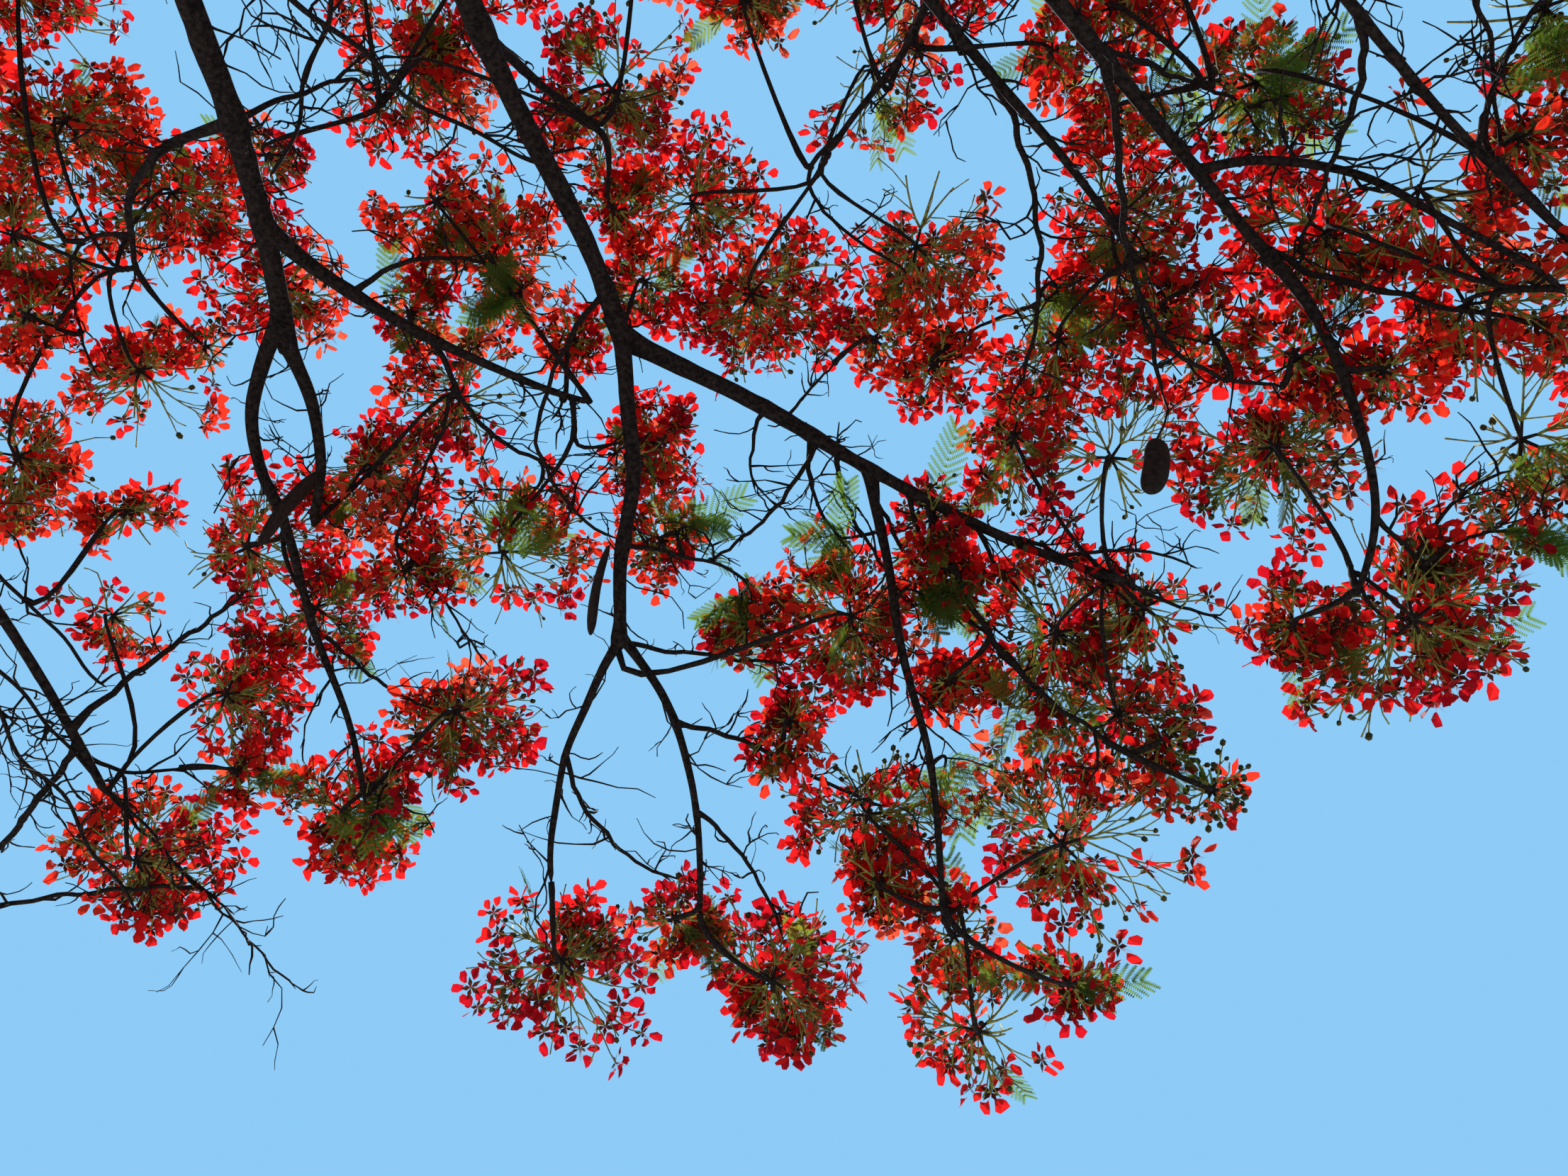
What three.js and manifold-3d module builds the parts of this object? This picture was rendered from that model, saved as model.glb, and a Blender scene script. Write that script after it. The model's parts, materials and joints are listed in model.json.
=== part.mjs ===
// Flame tree (royal poinciana) in full bloom: a flared trunk, arching boughs and a wide
// umbrella of blossom carried in clumps at the ends of the twigs.
//
// Millimetres, +Z up. The origin is the middle of the flat cut under the trunk. A place in the
// crown is given as bearing (degrees clockwise from +Y, seen from above), reach (distance from
// the trunk's foot, level) and height.

import * as THREE from "three";
import { mergeVertices } from "three/addons/utils/BufferGeometryUtils.js";
import Module from "manifold-3d";

const wasm = await Module();
wasm.setup();

// Trunk
const TRUNK_HEIGHT = 2480;
const TRUNK_RADIUS = 215;
const TRUNK_HEAD_RADIUS = 170;
const FLARE_RADIUS = 210;
const FLARE_HEIGHT = 330;
const FLARE_RIDGES = 5;
const FLARE_RIDGE_DEPTH = 0.17;
const TRUNK_LEAN = [90, 110];
const TRUNK_LEAN_CURVE = 1.6;
const TRUNK_HEAD_ROUNDING = 0.85;
const TRUNK_SIDES = 20;
const TRUNK_LEVELS = [0, 70, 180, 360, 640, 1050, 1500, 1950, 2260, 2420, 2480];

// Roof of the crown: an umbrella that is a little wider on the side that faces the light
const ROOF_TOP = 6900;
const ROOF_DROP = 3700;
const ROOF_CURVE = 2.6;
const ROOF_REACH = 5350;
const ROOF_EXTRA = 250;
const LIGHT_BEARING = 20;

// Limbs
const LIMB_SIDES = 6;
const LIMB_STEP = 480;
const LIMB_MIN_STEPS = 4;
const WANDER = 0.012;
const WANDER_WAVES = [2, 3, 5];
const TAPER_CURVE = 0.85;
const LIMB_SEED = 100;
const COLLAR = 0.3;
const COLLAR_LENGTH = 0.05;
const CLEARANCE = 0.35;
const SLIVER = 0.2;
const WELD_DISTANCE = 1e-3;
const DIRECTION_STEP = 0.01;
const SLOPE_STEP = 40;

// Clumps of blossom or leaves, and the twigs that carry them
const STEM_RADIUS = 17;
const TWIG_RADIUS = 12;
const TWIG_TIP_RADIUS = 8;
const TWIG_SIDES = 3;
const FORK_SHARE = 0.42;
const HUB_DEPTH = 0.3;
const TWIG_STEPS = 4;
const FIRST_TWIG = 0.3;
const TWIG_LEAVE = 0.3;
const TWIG_ARRIVE = 0.32;
const FORK_OVERLAP = 20;
const SPRAYS = 6;
const SPRAY_SHORTEST = 0.84;
const SPRAY_WIDEST = 0.58;
const SPRAY_HALF_WIDTH = 0.31;
const SPRAY_FIRST_TILT = 34;
const SPRAY_LAST_TILT = 106;
const SECTOR_USED = 0.42;
const TURN_JITTER = 0.1;
const TILT_JITTER = 0.12;
const NOTCH_RADIUS = 46;
const HUB_HALF_THICKNESS = 30;
const SPACE_MARGIN = 12;
const TOUCH_MARGIN = 6;
const MASS_SEED = 1000;
const MASS_SEED_STEP = 17;
const TINY = 1e-6;

// The rest of the crown, dealt evenly like seeds on a sunflower
const FAR_CLUMPS = 74;
const FAR_REACH_SHARE = 0.93;
const FAR_CLUMP_SIZE = 660;
const FAR_LIFT = [-520, 60];
const SEEN_BEARING = 16;
const SEEN_HALF_WIDTH = 38;
const SEEN_REACH = 2750;
const FAR_RIM_MASSES = 8;
const FAR_RIM_START = 52;
const FAR_RIM_SPAN = 290;
const FAR_RIM_REACH = 3900;
const FAR_INNER_BEARINGS = [60, 180, 300];
const FAR_INNER_REACH = 1500;
const FAR_SEED = 7;
const SHARED_LIMB_STEP = 0.05;

const SECTOR = (2 * Math.PI) / SPRAYS;
const GOLDEN_ANGLE = Math.PI * (3 - Math.sqrt(5));
const GOLDEN_SHARE = (Math.sqrt(5) - 1) / 2;
const UP = new THREE.Vector3(0, 0, 1);

const bark = new THREE.MeshStandardMaterial({ color: 0x4b3d33, roughness: 0.92, metalness: 0 });
const blossom = new THREE.MeshStandardMaterial({ color: 0xd9200f, roughness: 0.6, metalness: 0 });
const foliage = new THREE.MeshStandardMaterial({ color: 0x5c7a2b, roughness: 0.65, metalness: 0 });

// Each limb runs from a share `at` of its parent's length to its tip [bearing, reach, height].
// bow is how far its middle is pushed [clockwise, up]; thick is its radius at both ends.
const SEEN_LIMBS = [
  {
    name: "bough_north", from: "trunk", at: 0.93,
    tip: [4, 1250, 3950], bow: [0, 250], thick: [85, 58],
  },
  {
    name: "bough_left", from: "bough_north", at: 0.97,
    tip: [-3, 3880, 5000], bow: [-40, 300], thick: [38, 30],
  },
  {
    name: "limb_left_side", from: "bough_left", at: 0.71,
    tip: [-11, 3730, 5200], bow: [-120, 0], thick: [17, 9],
  },
  {
    name: "limb_left_straight", from: "bough_left", at: 0.985,
    tip: [-2, 4330, 4700], bow: [60, 0], thick: [23, 15],
  },
  {
    name: "limb_left_bent", from: "bough_left", at: 0.95,
    tip: [-3, 4280, 4680], bow: [-110, 40], thick: [27, 17],
  },
  {
    name: "limb_left_outer", from: "limb_left_bent", at: 0.96,
    tip: [1, 4870, 4000], bow: [-20, 50], thick: [17, 9],
  },
  {
    name: "limb_ring", from: "bough_left", at: 0.83,
    tip: [11, 4060, 4900], bow: [-140, 100], thick: [27, 10],
  },
  {
    name: "bough_middle", from: "bough_north", at: 0.95,
    tip: [13, 3950, 5000], bow: [20, 400], thick: [42, 28],
  },
  {
    name: "limb_middle_side", from: "bough_middle", at: 0.64,
    tip: [14, 3400, 5400], bow: [-40, 100], thick: [18, 10],
  },
  {
    name: "limb_long", from: "bough_middle", at: 0.985,
    tip: [30, 4760, 4150], bow: [-120, 150], thick: [34, 10],
  },
  {
    name: "limb_long_low", from: "limb_long", at: 0.54,
    tip: [21, 5140, 3500], bow: [20, 100], thick: [18, 9],
  },
  {
    name: "limb_down", from: "bough_middle", at: 0.96,
    tip: [11, 4610, 4300], bow: [40, 0], thick: [28, 20],
  },
  {
    name: "limb_down_left", from: "limb_down", at: 0.975,
    tip: [8, 5010, 3750], bow: [-60, 0], thick: [15, 9],
  },
  {
    name: "limb_down_right", from: "limb_down", at: 0.95,
    tip: [13, 5110, 3650], bow: [100, 0], thick: [16, 9],
  },
  {
    name: "bough_right", from: "trunk", at: 0.9,
    tip: [39, 4370, 4600], bow: [-220, 950], thick: [60, 13],
  },
  {
    name: "limb_right_low", from: "bough_right", at: 0.985,
    tip: [36, 4880, 3900], bow: [120, 0], thick: [19, 9],
  },
  {
    name: "limb_right_side", from: "bough_right", at: 0.92,
    tip: [45, 4600, 4200], bow: [80, 100], thick: [14, 8],
  },
  {
    name: "limb_right_inner", from: "bough_right", at: 0.45,
    tip: [35, 4190, 4750], bow: [-100, 350], thick: [26, 10],
  },
  {
    name: "limb_right_back", from: "bough_right", at: 0.7,
    tip: [25, 3630, 5200], bow: [120, 350], thick: [15, 9],
  },
  {
    name: "limb_corner", from: "bough_right", at: 0.4,
    tip: [46, 4570, 4300], bow: [80, 250], thick: [26, 9],
  },
];

// The other three boughs fork alike: a main limb out to the rim, a side limb to the rim and an
// upright one into the top of the crown.
const FAR_BOUGHS = [
  { name: "bough_east", bearing: 96, side: [140, 3950, 4300], sideBow: [60, 320] },
  { name: "bough_south", bearing: 196, side: [250, 3900, 4250], sideBow: [60, 320] },
  { name: "bough_west", bearing: 304, side: [352, 4840, 3950], sideBow: [-420, 620] },
];
const FAR_START = 0.88;
const FAR_TIP = [3950, 4250];
const FAR_BOW = [80, 820];
const FAR_THICK = [86, 20];
const FAR_SIDE = { at: 0.42, thick: [40, 12] };
const FAR_CROWN = { at: 0.33, reach: 1250, height: 5500, bow: [0, 200], thick: [42, 16] };

// Each mass grows from the tip of its limb. A clump is [bearing, reach, size]: its height is the
// roof's, and its size is how far its sprays stand out from its middle.
const SEEN_MASSES = [
  {
    name: "blossom_far_left",
    limb: "limb_left_side",
    clumps: [[-17, 3570, 400], [-11, 3690, 390], [-18, 3880, 350], [-11, 4140, 340], [-15, 4380, 370]],
  },
  {
    name: "blossom_left",
    limb: "bough_left",
    clumps: [[-5, 3890, 300]],
  },
  {
    name: "blossom_left_middle",
    limb: "limb_left_straight",
    clumps: [[0, 4330, 340], [4, 4170, 320]],
  },
  {
    name: "blossom_left_low",
    limb: "limb_left_bent",
    clumps: [[-5, 4520, 390], [-2, 4640, 290]],
  },
  {
    name: "blossom_left_outer",
    limb: "limb_left_outer",
    clumps: [[0, 5040, 340], [4, 4860, 350]],
  },
  {
    name: "blossom_ring",
    limb: "limb_ring",
    clumps: [[6, 3830, 370], [3, 3660, 300]],
  },
  {
    name: "blossom_ring_low",
    limb: "limb_ring",
    at: 0.95,
    clumps: [[6, 4540, 400], [13, 4330, 260]],
  },
  {
    name: "blossom_top",
    limb: "limb_middle_side",
    clumps: [[2, 3300, 380], [14, 3450, 420]],
  },
  {
    name: "blossom_rim_left",
    limb: "bough_west_side",
    clumps: [[-7, 5130, 380], [-5, 4820, 340], [-10, 4680, 250]],
  },
  {
    name: "blossom_rim_middle",
    limb: "limb_down_left",
    clumps: [[8, 5310, 390]],
  },
  {
    name: "blossom_rim_right",
    limb: "limb_down_right",
    clumps: [[15, 5380, 390]],
  },
  {
    name: "blossom_inner",
    limb: "limb_down",
    clumps: [[20, 4800, 400]],
  },
  {
    name: "blossom_low",
    limb: "limb_long_low",
    clumps: [[19, 5150, 340], [25, 5270, 430], [21, 5500, 320]],
  },
  {
    name: "blossom_long",
    limb: "limb_long",
    clumps: [
      [27, 4940, 400], [31, 4680, 350], [30, 4950, 340],
      [28, 5100, 340], [28, 4560, 330],
    ],
  },
  {
    name: "blossom_right_back",
    limb: "limb_right_back",
    clumps: [[19, 4060, 410], [27, 4100, 420], [28, 3650, 330], [17, 3790, 320]],
  },
  {
    name: "blossom_right_inner",
    limb: "limb_right_inner",
    clumps: [[35, 4260, 400], [31, 4420, 330]],
  },
  {
    name: "blossom_right_low",
    limb: "limb_right_low",
    clumps: [[37, 5130, 430], [36, 4790, 370]],
  },
  {
    name: "blossom_right_side",
    limb: "limb_right_side",
    clumps: [[43, 4740, 400], [41, 4500, 360], [44, 4530, 340], [42, 4960, 340]],
  },
  {
    name: "leaves_corner",
    limb: "limb_corner",
    leafy: true,
    clumps: [[42, 4180, 380], [50, 4410, 340]],
  },
];

// Seeded numbers between 0 and 1: the same seed always gives the same row.
function seededNumbers(seed) {
  let state = seed >>> 0;
  return () => {
    state = (state + 0x6d2b79f5) >>> 0;
    let mixed = Math.imul(state ^ (state >>> 15), state | 1);
    mixed = (mixed + Math.imul(mixed ^ (mixed >>> 7), mixed | 61)) ^ mixed;
    return ((mixed ^ (mixed >>> 14)) >>> 0) / 2 ** 32;
  };
}

function radians(degrees) {
  return (degrees * Math.PI) / 180;
}

function placeAt(bearing, reach, height) {
  const angle = radians(bearing);
  return new THREE.Vector3(reach * Math.sin(angle), reach * Math.cos(angle), height);
}

function roofReach(bearing) {
  return ROOF_REACH + ROOF_EXTRA * Math.cos(radians(bearing - LIGHT_BEARING));
}

function roofHeight(bearing, reach) {
  return ROOF_TOP - ROOF_DROP * (reach / roofReach(bearing)) ** ROOF_CURVE;
}

// Direction that stands square off the roof: mostly up, leaning outward towards the rim.
function roofNormal(bearing, reach) {
  const rise = roofHeight(bearing, reach + SLOPE_STEP) - roofHeight(bearing, reach - SLOPE_STEP);
  const outward = placeAt(bearing, 1, 0);
  return outward.multiplyScalar(-rise / (2 * SLOPE_STEP)).add(UP).normalize();
}

// Middle line of a limb: a bowed run from start to tip that wanders a little between its ends.
function limbLine(start, tip, bow, seed) {
  const random = seededNumbers(seed);
  const chord = tip.clone().sub(start);
  const wander = 2 * WANDER * chord.length();
  const clockwise = new THREE.Vector3(chord.y, -chord.x, 0).normalize();
  const sway = WANDER_WAVES.map((waves) => ({
    waves,
    side: ((random() - 0.5) * wander * WANDER_WAVES[0]) / waves,
    lift: ((random() - 0.5) * wander * WANDER_WAVES[0]) / waves,
  }));
  return (share) => {
    const arch = 4 * share * (1 - share);
    let side = arch * bow[0];
    let lift = arch * bow[1];
    for (const wave of sway) {
      const swing = Math.sin(Math.PI * wave.waves * share);
      side += wave.side * swing;
      lift += wave.lift * swing;
    }
    return start
      .clone()
      .addScaledVector(chord, share)
      .addScaledVector(clockwise, side)
      .addScaledVector(UP, lift);
  };
}

function lineDirection(line, share) {
  const ahead = line(Math.min(1, share + DIRECTION_STEP));
  const behind = line(Math.max(0, share - DIRECTION_STEP));
  return ahead.sub(behind).normalize();
}

// A closed tapering tube: a cylinder whose rings are set square along the line.
function taperedTube(line, radiusAt, sides, steps, grow = 0) {
  const tube = new THREE.CylinderGeometry(1, 1, 1, sides, steps);
  const places = tube.attributes.position;
  for (let index = 0; index < places.count; index += 1) {
    const share = places.getY(index) + 0.5;
    const along = lineDirection(line, share);
    const across = new THREE.Vector3().crossVectors(UP, along).normalize();
    const over = new THREE.Vector3().crossVectors(across, along);
    const radius = radiusAt(share) + grow;
    const point = line(share)
      .addScaledVector(across, places.getX(index) * radius)
      .addScaledVector(over, places.getZ(index) * radius)
      .addScaledVector(along, endShift(share, grow));
    places.setXYZ(index, point.x, point.y, point.z);
  }
  return tube;
}

// When a tube grows, its two end rings also move along the line.
function endShift(share, grow) {
  if (share === 0) {
    return -grow;
  }
  return share === 1 ? grow : 0;
}

function solidFrom(geometry) {
  const bare = geometry.clone();
  bare.deleteAttribute("normal");
  bare.deleteAttribute("uv");
  const merged = mergeVertices(bare, WELD_DISTANCE);
  const solid = new wasm.Manifold(
    new wasm.Mesh({
      numProp: 3,
      vertProperties: new Float32Array(merged.attributes.position.array),
      triVerts: new Uint32Array(merged.index.array),
    }),
  );
  if (solid.volume() < 0) {
    throw new Error("a solid is inside out");
  }
  return solid;
}

function geometryFrom(solid) {
  const mesh = solid.getMesh();
  const geometry = new THREE.BufferGeometry();
  geometry.setAttribute("position", new THREE.BufferAttribute(mesh.vertProperties.slice(), 3));
  geometry.setIndex(new THREE.BufferAttribute(mesh.triVerts.slice(), 1));
  geometry.computeVertexNormals();
  return geometry;
}

// The main body of a solid, with slivers closed up and any loose scrap that a cut leaves dropped.
function largestBody(solid) {
  const bodies = solid.simplify(SLIVER).decompose();
  return bodies.reduce((best, body) => (body.volume() > best.volume() ? body : best));
}

function boxesMeet(first, second) {
  const one = first.boundingBox();
  const two = second.boundingBox();
  return [0, 1, 2].every((axis) => one.min[axis] <= two.max[axis] && two.min[axis] <= one.max[axis]);
}

function trunkLine(share) {
  const height = share * TRUNK_HEIGHT;
  const lean = share ** TRUNK_LEAN_CURVE;
  return new THREE.Vector3(TRUNK_LEAN[0] * lean, TRUNK_LEAN[1] * lean, height);
}

function trunkRadius(height, angle) {
  const taper = THREE.MathUtils.lerp(TRUNK_RADIUS, TRUNK_HEAD_RADIUS, height / TRUNK_HEIGHT);
  const flare = FLARE_RADIUS * Math.exp(-height / FLARE_HEIGHT);
  const ridging = FLARE_RIDGE_DEPTH * Math.exp(-height / FLARE_HEIGHT);
  const ridge = 1 + ridging * Math.cos(FLARE_RIDGES * angle);
  const fromHead = 1 - Math.min(1, (TRUNK_HEIGHT - height) / TRUNK_HEAD_RADIUS);
  const dome = Math.sqrt(1 - TRUNK_HEAD_ROUNDING * fromHead ** 2);
  return (taper + flare) * ridge * dome;
}

// The trunk: level rings from the flat cut at the ground up to a rounded head.
function trunkGeometry(grow = 0) {
  const levels = TRUNK_LEVELS.length - 1;
  const tube = new THREE.CylinderGeometry(1, 1, 1, TRUNK_SIDES, levels);
  const places = tube.attributes.position;
  for (let index = 0; index < places.count; index += 1) {
    const level = Math.round((places.getY(index) + 0.5) * levels);
    const height = TRUNK_LEVELS[level];
    const angle = Math.atan2(places.getZ(index), places.getX(index));
    const radius = trunkRadius(height, angle) + grow;
    const middle = trunkLine(height / TRUNK_HEIGHT);
    const raise = level === levels ? grow : 0;
    places.setXYZ(
      index,
      middle.x + places.getX(index) * radius,
      middle.y - places.getZ(index) * radius,
      height + raise,
    );
  }
  return tube;
}

// All limbs as rows: those that are placed one by one, then the far boughs by their common plan.
function limbRows() {
  const rows = [...SEEN_LIMBS];
  for (const bough of FAR_BOUGHS) {
    rows.push({
      name: bough.name,
      from: "trunk",
      at: FAR_START,
      tip: [bough.bearing, ...FAR_TIP],
      bow: FAR_BOW,
      thick: FAR_THICK,
    });
    rows.push({
      name: `${bough.name}_side`,
      from: bough.name,
      at: FAR_SIDE.at,
      tip: bough.side,
      bow: bough.sideBow,
      thick: FAR_SIDE.thick,
    });
    rows.push({
      name: `${bough.name}_crown`,
      from: bough.name,
      at: FAR_CROWN.at,
      tip: [bough.bearing, FAR_CROWN.reach, FAR_CROWN.height],
      bow: FAR_CROWN.bow,
      thick: FAR_CROWN.thick,
    });
  }
  return rows;
}

// Works out every limb's line and thickness, parents first.
function growLimbs() {
  const limbs = new Map();
  limbRows().forEach((row, order) => {
    const parent = row.from === "trunk" ? trunkLine : limbs.get(row.from).line;
    const start = parent(row.at);
    const tip = placeAt(...row.tip);
    const line = limbLine(start, tip, row.bow, LIMB_SEED + order);
    const [thick, thin] = row.thick;
    const radiusAt = (share) => {
      const collar = COLLAR * thin * Math.exp(-share / COLLAR_LENGTH);
      return THREE.MathUtils.lerp(thick, thin, share ** TAPER_CURVE) + collar;
    };
    const steps = Math.max(LIMB_MIN_STEPS, Math.round(start.distanceTo(tip) / LIMB_STEP));
    limbs.set(row.name, { ...row, line, radiusAt, steps });
  });
  return limbs;
}

function limbGeometry(limb, grow = 0) {
  return taperedTube(limb.line, limb.radiusAt, LIMB_SIDES, limb.steps, grow);
}

// The far clumps: a sunflower pattern over the whole roof without the part that is placed above,
// each clump given to the nearest mass.
function farMasses(limbs) {
  const masses = [];
  for (let index = 0; index < FAR_RIM_MASSES; index += 1) {
    const bearing = FAR_RIM_START + ((index + 0.5) * FAR_RIM_SPAN) / FAR_RIM_MASSES;
    const middle = [bearing, FAR_RIM_REACH];
    masses.push({ name: `blossom_rim_${index + 1}`, middle, clumps: [] });
  }
  FAR_INNER_BEARINGS.forEach((bearing, index) => {
    const middle = [bearing, FAR_INNER_REACH];
    masses.push({ name: `blossom_crown_${index + 1}`, middle, clumps: [] });
  });
  const random = seededNumbers(FAR_SEED);
  for (let index = 0; index < FAR_CLUMPS; index += 1) {
    const turn = THREE.MathUtils.radToDeg(index * GOLDEN_ANGLE) % 360;
    const bearing = turn > 180 ? turn - 360 : turn;
    const reach = roofReach(bearing) * FAR_REACH_SHARE * Math.sqrt((index + 0.5) / FAR_CLUMPS);
    const lift = THREE.MathUtils.lerp(...FAR_LIFT, random());
    const seen = Math.abs(bearing - SEEN_BEARING) < SEEN_HALF_WIDTH && reach > SEEN_REACH;
    if (!seen) {
      const place = placeAt(bearing, reach, 0);
      const distance = (mass) => placeAt(...mass.middle, 0).distanceTo(place);
      const nearest = masses.reduce((best, mass) => (distance(mass) < distance(best) ? mass : best));
      nearest.clumps.push([bearing, reach, FAR_CLUMP_SIZE, lift]);
    }
  }
  const isFar = (limb) => FAR_BOUGHS.some((bough) => limb.name.startsWith(bough.name));
  const farLimbs = [...limbs.values()].filter(isFar);
  const uses = new Map();
  for (const mass of masses) {
    const middle = placeAt(...mass.middle, roofHeight(...mass.middle));
    const distance = (limb) => limb.line(1).distanceTo(middle);
    const limb = farLimbs.reduce((best, other) => (distance(other) < distance(best) ? other : best));
    const used = uses.get(limb.name) ?? 0;
    uses.set(limb.name, used + 1);
    mass.limb = limb.name;
    mass.at = 1 - SHARED_LIMB_STEP * used;
  }
  return masses;
}

// The direction that lies between two square directions, turned by an angle from the first.
function direction(first, second, angle) {
  return first.clone().multiplyScalar(Math.cos(angle)).addScaledVector(second, Math.sin(angle));
}

// One clump: where its sprays meet, the way it faces, and its sprays fanned out like an umbrella,
// each in its own sector round the clump's axis.
function growClump([bearing, reach, size, lift = 0], random) {
  const axis = roofNormal(bearing, reach);
  const middle = placeAt(bearing, reach, roofHeight(bearing, reach) + lift);
  const hub = middle.clone().addScaledVector(axis, -HUB_DEPTH * size);
  const across = new THREE.Vector3(1, 0, 0).addScaledVector(axis, -axis.x).normalize();
  const over = new THREE.Vector3().crossVectors(axis, across);
  const first = random() * Math.PI * 2;
  const sprays = [];
  for (let index = 0; index < SPRAYS; index += 1) {
    const turn = first + (index + (random() - 0.5) * TURN_JITTER) * SECTOR;
    const share = (index * GOLDEN_SHARE + random() * TILT_JITTER) % 1;
    const tilt = radians(THREE.MathUtils.lerp(SPRAY_FIRST_TILT, SPRAY_LAST_TILT, share));
    const length = size * (SPRAY_SHORTEST + (1 - SPRAY_SHORTEST) * random());
    const outward = direction(across, over, turn);
    const sideways = new THREE.Vector3().crossVectors(axis, outward);
    const along = direction(axis, outward, tilt);
    const reachOut = SPRAY_WIDEST * length * Math.sin(tilt);
    const half = Math.min(SPRAY_HALF_WIDTH * length, reachOut * Math.tan(SECTOR * SECTOR_USED));
    const widest = hub.clone().addScaledVector(along, SPRAY_WIDEST * length);
    sprays.push({
      turn,
      tip: hub.clone().addScaledVector(along, length),
      left: widest.clone().addScaledVector(sideways, -half),
      right: widest.clone().addScaledVector(sideways, half),
    });
  }
  return { hub, middle, size, axis, across, over, sprays };
}

// The closed outline of a clump's star: out to each spray that is kept, and back to a notch
// between it and the next. Each point also tells the corner of the twig that it hangs from.
function starOutline(clump, kept) {
  const outline = [];
  clump.sprays.forEach((spray, index) => {
    const corner = Math.floor((index + 1) / 2) % TWIG_SIDES;
    outline.push({ point: notchPoint(clump, index), corner, opensNext: index % 2 === 1 });
    const bare = [notchPoint(clump, index + 0.5)];
    const points = kept.includes(spray) ? [spray.left, spray.tip, spray.right] : bare;
    points.forEach((point) => outline.push({ point, corner, opensNext: false }));
  });
  return outline;
}

function notchPoint(clump, index) {
  return radialPoint(clump, clump.hub, notchTurn(clump, index), NOTCH_RADIUS);
}

function notchTurn(clump, index) {
  return clump.sprays[0].turn + (index - 0.5) * SECTOR;
}

function radialPoint(clump, middle, turn, radius) {
  return middle.clone().addScaledVector(direction(clump.across, clump.over, turn), radius);
}

// A clump and the twig that carries it, as one closed body. The twig is three-sided, and each of
// its corners stands under every second notch of the star, so its last ring opens into the
// star's underside.
function clumpOnTwig(clump, twig, kept) {
  const outline = starOutline(clump, kept);
  const corners = [];
  for (let step = 0; step <= TWIG_STEPS; step += 1) {
    const share = step / TWIG_STEPS;
    const tilt = new THREE.Quaternion().setFromUnitVectors(clump.axis, lineDirection(twig.line, share));
    for (let side = 0; side < TWIG_SIDES; side += 1) {
      const spoke = radialPoint(clump, new THREE.Vector3(), notchTurn(clump, 2 * side), twig.radiusAt(share));
      corners.push(twig.line(share).add(spoke.applyQuaternion(tilt)));
    }
  }
  const faces = [0, 2, 1];
  for (let step = 0; step < TWIG_STEPS; step += 1) {
    for (let side = 0; side < TWIG_SIDES; side += 1) {
      const here = step * TWIG_SIDES + side;
      const next = step * TWIG_SIDES + ((side + 1) % TWIG_SIDES);
      faces.push(here, next, next + TWIG_SIDES, here, next + TWIG_SIDES, here + TWIG_SIDES);
    }
  }
  const ring = TWIG_STEPS * TWIG_SIDES;
  const rim = corners.length;
  const top = rim + outline.length;
  corners.push(...outline.map(({ point }) => point));
  corners.push(clump.hub.clone().addScaledVector(clump.axis, HUB_HALF_THICKNESS));
  outline.forEach(({ corner, opensNext }, index) => {
    const here = rim + index;
    const next = rim + ((index + 1) % outline.length);
    faces.push(top, here, next, ring + corner, next, here);
    if (opensNext) {
      faces.push(ring + ((corner + TWIG_SIDES - 1) % TWIG_SIDES), ring + corner, here);
    }
  });
  const body = new THREE.BufferGeometry();
  const places = corners.flatMap((corner) => corner.toArray());
  body.setAttribute("position", new THREE.Float32BufferAttribute(places, 3));
  body.setIndex(faces);
  return body;
}

// Twigs of a mass: one stem from the limb's tip, with a twig to each clump leaving it in turn. A
// mass of one clump has its twig for a stem.
function growMass(mass, limbs, order) {
  const random = seededNumbers(MASS_SEED + order * MASS_SEED_STEP);
  const limb = limbs.get(mass.limb);
  const at = mass.at ?? 1;
  const start = limb.line(at);
  const heading = lineDirection(limb.line, at);
  const clumps = mass.clumps.map((clump) => growClump(clump, random));
  if (clumps.length === 1) {
    clumps[0].twig = growTwig(start, heading, clumps[0], STEM_RADIUS);
    return { ...mass, clumps, stem: null };
  }
  const centre = new THREE.Vector3();
  clumps.forEach((clump) => centre.addScaledVector(clump.hub, 1 / clumps.length));
  const fork = start.clone().lerp(centre, FORK_SHARE);
  const onward = fork.clone().sub(start).normalize();
  const stemEnd = fork.clone().addScaledVector(onward, FORK_OVERLAP);
  const stem = {
    line: (share) => start.clone().lerp(stemEnd, share),
    radiusAt: (share) => THREE.MathUtils.lerp(STEM_RADIUS, TWIG_RADIUS, share),
  };
  clumps.forEach((clump, index) => {
    const share = THREE.MathUtils.lerp(FIRST_TWIG, 1, (index + 1) / clumps.length);
    clump.twig = growTwig(start.clone().lerp(fork, share), onward, clump, TWIG_RADIUS);
  });
  return { ...mass, clumps, stem };
}

// A twig leaves along the heading that it grew from and comes up under the clump along its axis.
function growTwig(start, heading, clump, thick) {
  const end = clump.hub.clone().addScaledVector(clump.axis, -HUB_HALF_THICKNESS);
  const length = start.distanceTo(end);
  const curve = new THREE.CubicBezierCurve3(
    start,
    start.clone().addScaledVector(heading, TWIG_LEAVE * length),
    end.clone().addScaledVector(clump.axis, -TWIG_ARRIVE * length),
    end,
  );
  return {
    line: (share) => curve.getPoint(share),
    radiusAt: (share) => THREE.MathUtils.lerp(thick, TWIG_TIP_RADIUS, share),
  };
}

function segmentsOf(line, count) {
  const points = Array.from({ length: count + 1 }, (_, index) => line(index / count));
  return points.slice(1).map((point, index) => [points[index], point]);
}

function clampShare(share) {
  return THREE.MathUtils.clamp(share, 0, 1);
}

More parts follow.
